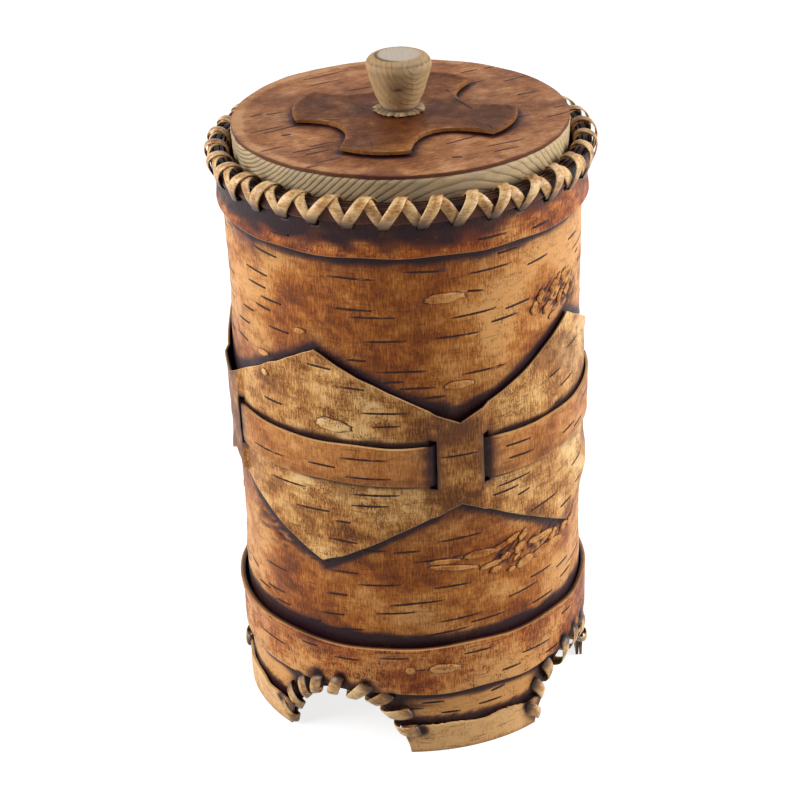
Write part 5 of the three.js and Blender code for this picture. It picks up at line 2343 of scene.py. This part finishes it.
# Raised scabs, as turn, height, length, tilt and tall
SCABS = {
    "wrap": (
        (-53, 144, 12, 1, 3.2), (-49, 118, 9, 2, 2.6), (-100, 132, 4, 4, 1.8), (-117, 121, 5, 4, 2.0),
        (-20.8, 134.2, 4.2, 70, 2.6), (-17.9, 136.6, 4.4, 60, 2.6), (-14.4, 132.6, 5.0, 30, 2.4),
        (-11.2, 137.8, 4.2, 50, 2.6), (-8.2, 139.0, 4.0, 45, 2.4), (-4.4, 139.2, 4.2, 30, 2.6),
        (-12.0, 129.6, 4.0, 15, 1.8), (-7.6, 133.8, 4.4, 40, 2.2), (-3.5, 134.5, 4.0, 50, 2.2),
        (-52, 60.9, 15.5, -8, 1.8), (-55, 63.2, 10, 0, 1.7), (-43, 63.7, 10.5, 0, 2.6),
        (-39, 59.4, 8, 8, 1.8), (-37.5, 57.4, 4, 10, 2.0), (-35, 64.2, 7, 12, 1.9),
        (-31, 65.6, 6, 20, 1.8), (-26.6, 65.2, 4.5, 50, 2.2), (-28, 61.8, 5, 35, 2.4),
        (-29, 59.2, 4, 35, 1.7), (-25.8, 56.6, 7, 15, 3.2), (-31.4, 55.8, 3, 10, 1.4),
        (-33.8, 60.6, 4, 20, 2.0), (-14.6, 57.2, 15, 1, 3.4), (-18.5, 61.9, 10, 3, 2.2),
        (-12, 60.2, 5, 25, 2.0), (-4.8, 59.8, 5, 5, 2.2), (0.6, 59.4, 5, 10, 3.0),
        (70, 120, 10, 2, 3.0), (160, 140, 8, -2, 2.6), (200, 62, 9, 3, 3.0), (110, 50, 7, 0, 2.4),
    ),
    "belt": ((-89, 106, 11, -5, 4.2), (-115, 116, 3, -10, 2.0), (60, 84, 8, 4, 2.8), (170, 108, 9, 2, 3.0)),
    "bottom_hoop": (
        (-56, 29, 10, -2, 3.4), (-67, 28.9, 3, 0, 2.2), (90, 28, 8, 0, 2.8), (200, 30, 7, 2, 2.6),
    ),
}


# Studio

@dataclass
class Studio:
    """The camera where the photograph was taken from, the white floor and the soft lights."""

    lens: float = 103.907
    distance: float = 677.72
    elevation: float = 27.01
    azimuth: float = 25.5
    roll: float = 1.92
    look_at: tuple[float, float, float] = (-2.63, 0.0, 89.23)
    floor_half: float = 3.0

    def aimed(self, side: float, rise: float, roll: float, target: Sequence[float], away: float) -> Matrix:
        """Gives the place and turn of a camera or a lamp that looks at a target.

        Args:
            side: where it stands, in degrees to the right of the camera.
            rise: its height above the horizon in degrees.
            roll: how far it is rolled, in degrees.
            target: what it looks at: x to its right, y away from it and z up, in millimetres.
            away: its distance from there in millimetres.

        Returns:
            The matrix in metres.
        """
        turn = Matrix.Rotation(math.radians(self.azimuth + side), 4, "Z")
        tip = Matrix.Rotation(math.radians(90 - rise), 4, "X") @ Matrix.Rotation(math.radians(-roll), 4, "Z")
        back = Matrix.Translation((0, 0, away * MM))
        return turn @ Matrix.Translation(Vector(target) * MM) @ tip @ back

    def camera(self) -> None:
        """Makes the camera and gives it to the scene."""
        data = bpy.data.cameras.new("camera")
        data.lens, data.sensor_width = self.lens, 36.0
        data.clip_start, data.clip_end = 0.05, 20.0
        camera = in_scene("camera", data)
        camera.matrix_world = self.aimed(0, self.elevation, self.roll, self.look_at, self.distance)
        bpy.context.scene.camera = camera

    def lamp(self, name: str, power: float, size: float, side: float, rise: float) -> None:
        """Adds a square soft box a metre away that faces the middle of the canister.

        Args:
            name: the lamp's name.
            power: its power in watts.
            size: its side in metres.
            side: where it stands, in degrees to the right of the camera.
            rise: its height above the horizon in degrees.
        """
        data = bpy.data.lights.new(name, "AREA")
        data.energy, data.size = power, size
        in_scene(name, data).matrix_world = self.aimed(side, rise, 0, (0, 0, 90), 1000)

    def seen(self, node: Nodes) -> NodeSocket:
        """Tells the rays of the camera, of mirrors and of glass from those that light the object.

        Args:
            node: the nodes of the floor's material or of the world.

        Returns:
            The output, 1 for a ray that is seen and 0 for one that lights.
        """
        rays = node("ShaderNodeLightPath", out=None).outputs
        seen = node.math("MAXIMUM", rays["Is Camera Ray"], rays["Is Glossy Ray"])
        return node.math("MAXIMUM", seen, rays["Is Transmission Ray"])

    def build(self) -> None:
        """Makes the camera, the lights, the floor and the world."""
        self.camera()
        self.lamp("left", 12.0, 0.7, -80, 26)
        self.lamp("right", 12.0, 0.7, 84, 24)
        self.lamp("top", 1.5, 0.6, 150, 62)

        world = bpy.data.worlds.new("white_room")
        world.use_nodes = True
        world.node_tree.nodes.clear()
        node = Nodes(world.node_tree)
        light, white = (
            node("ShaderNodeBackground", {"Color": (1, 1, 1, 1), "Strength": strength})
            for strength in (0.08, 1.0)
        )
        both = node("ShaderNodeMixShader", {0: self.seen(node), 1: light, 2: white})
        node("ShaderNodeOutputWorld", {"Surface": both}, None)
        bpy.context.scene.world = world
        bpy.context.scene.view_settings.view_transform = "Standard"

        half = self.floor_half
        corners = np.array([(-half, -half, 0), (half, -half, 0), (half, half, 0), (-half, half, 0)])
        floor = mesh_object("floor", corners / MM, [(0, 1, 2, 3)], {})
        paper, node, _ = blank("white_paper_sweep")
        lit = node("ShaderNodeBsdfDiffuse", {"Color": (0.42, 0.42, 0.42, 1)})
        strength = node.math("MULTIPLY", self.seen(node), 0.8)
        glow = node("ShaderNodeEmission", {"Color": (1, 1, 1, 1), "Strength": strength})
        both = node("ShaderNodeAddShader", {0: lit, 1: glow})
        node("ShaderNodeOutputMaterial", {"Surface": both}, None)
        floor.data.materials.append(paper)


def main() -> None:
    """Builds the canister piece by piece and sets it in the studio."""
    logging.basicConfig(level=logging.INFO, format="%(name)s: %(message)s")
    Studio().build()
    lacing = Lacing()
    sheets = {"wrap": Shell().build(), **Hoops().build(lacing.holes()), **Belt().build()}
    Feet().build(lacing.holes())
    lacing.build()
    sheets.update(Lid().build())
    Marks().build(sheets)


if __name__ == "__main__":
    main()
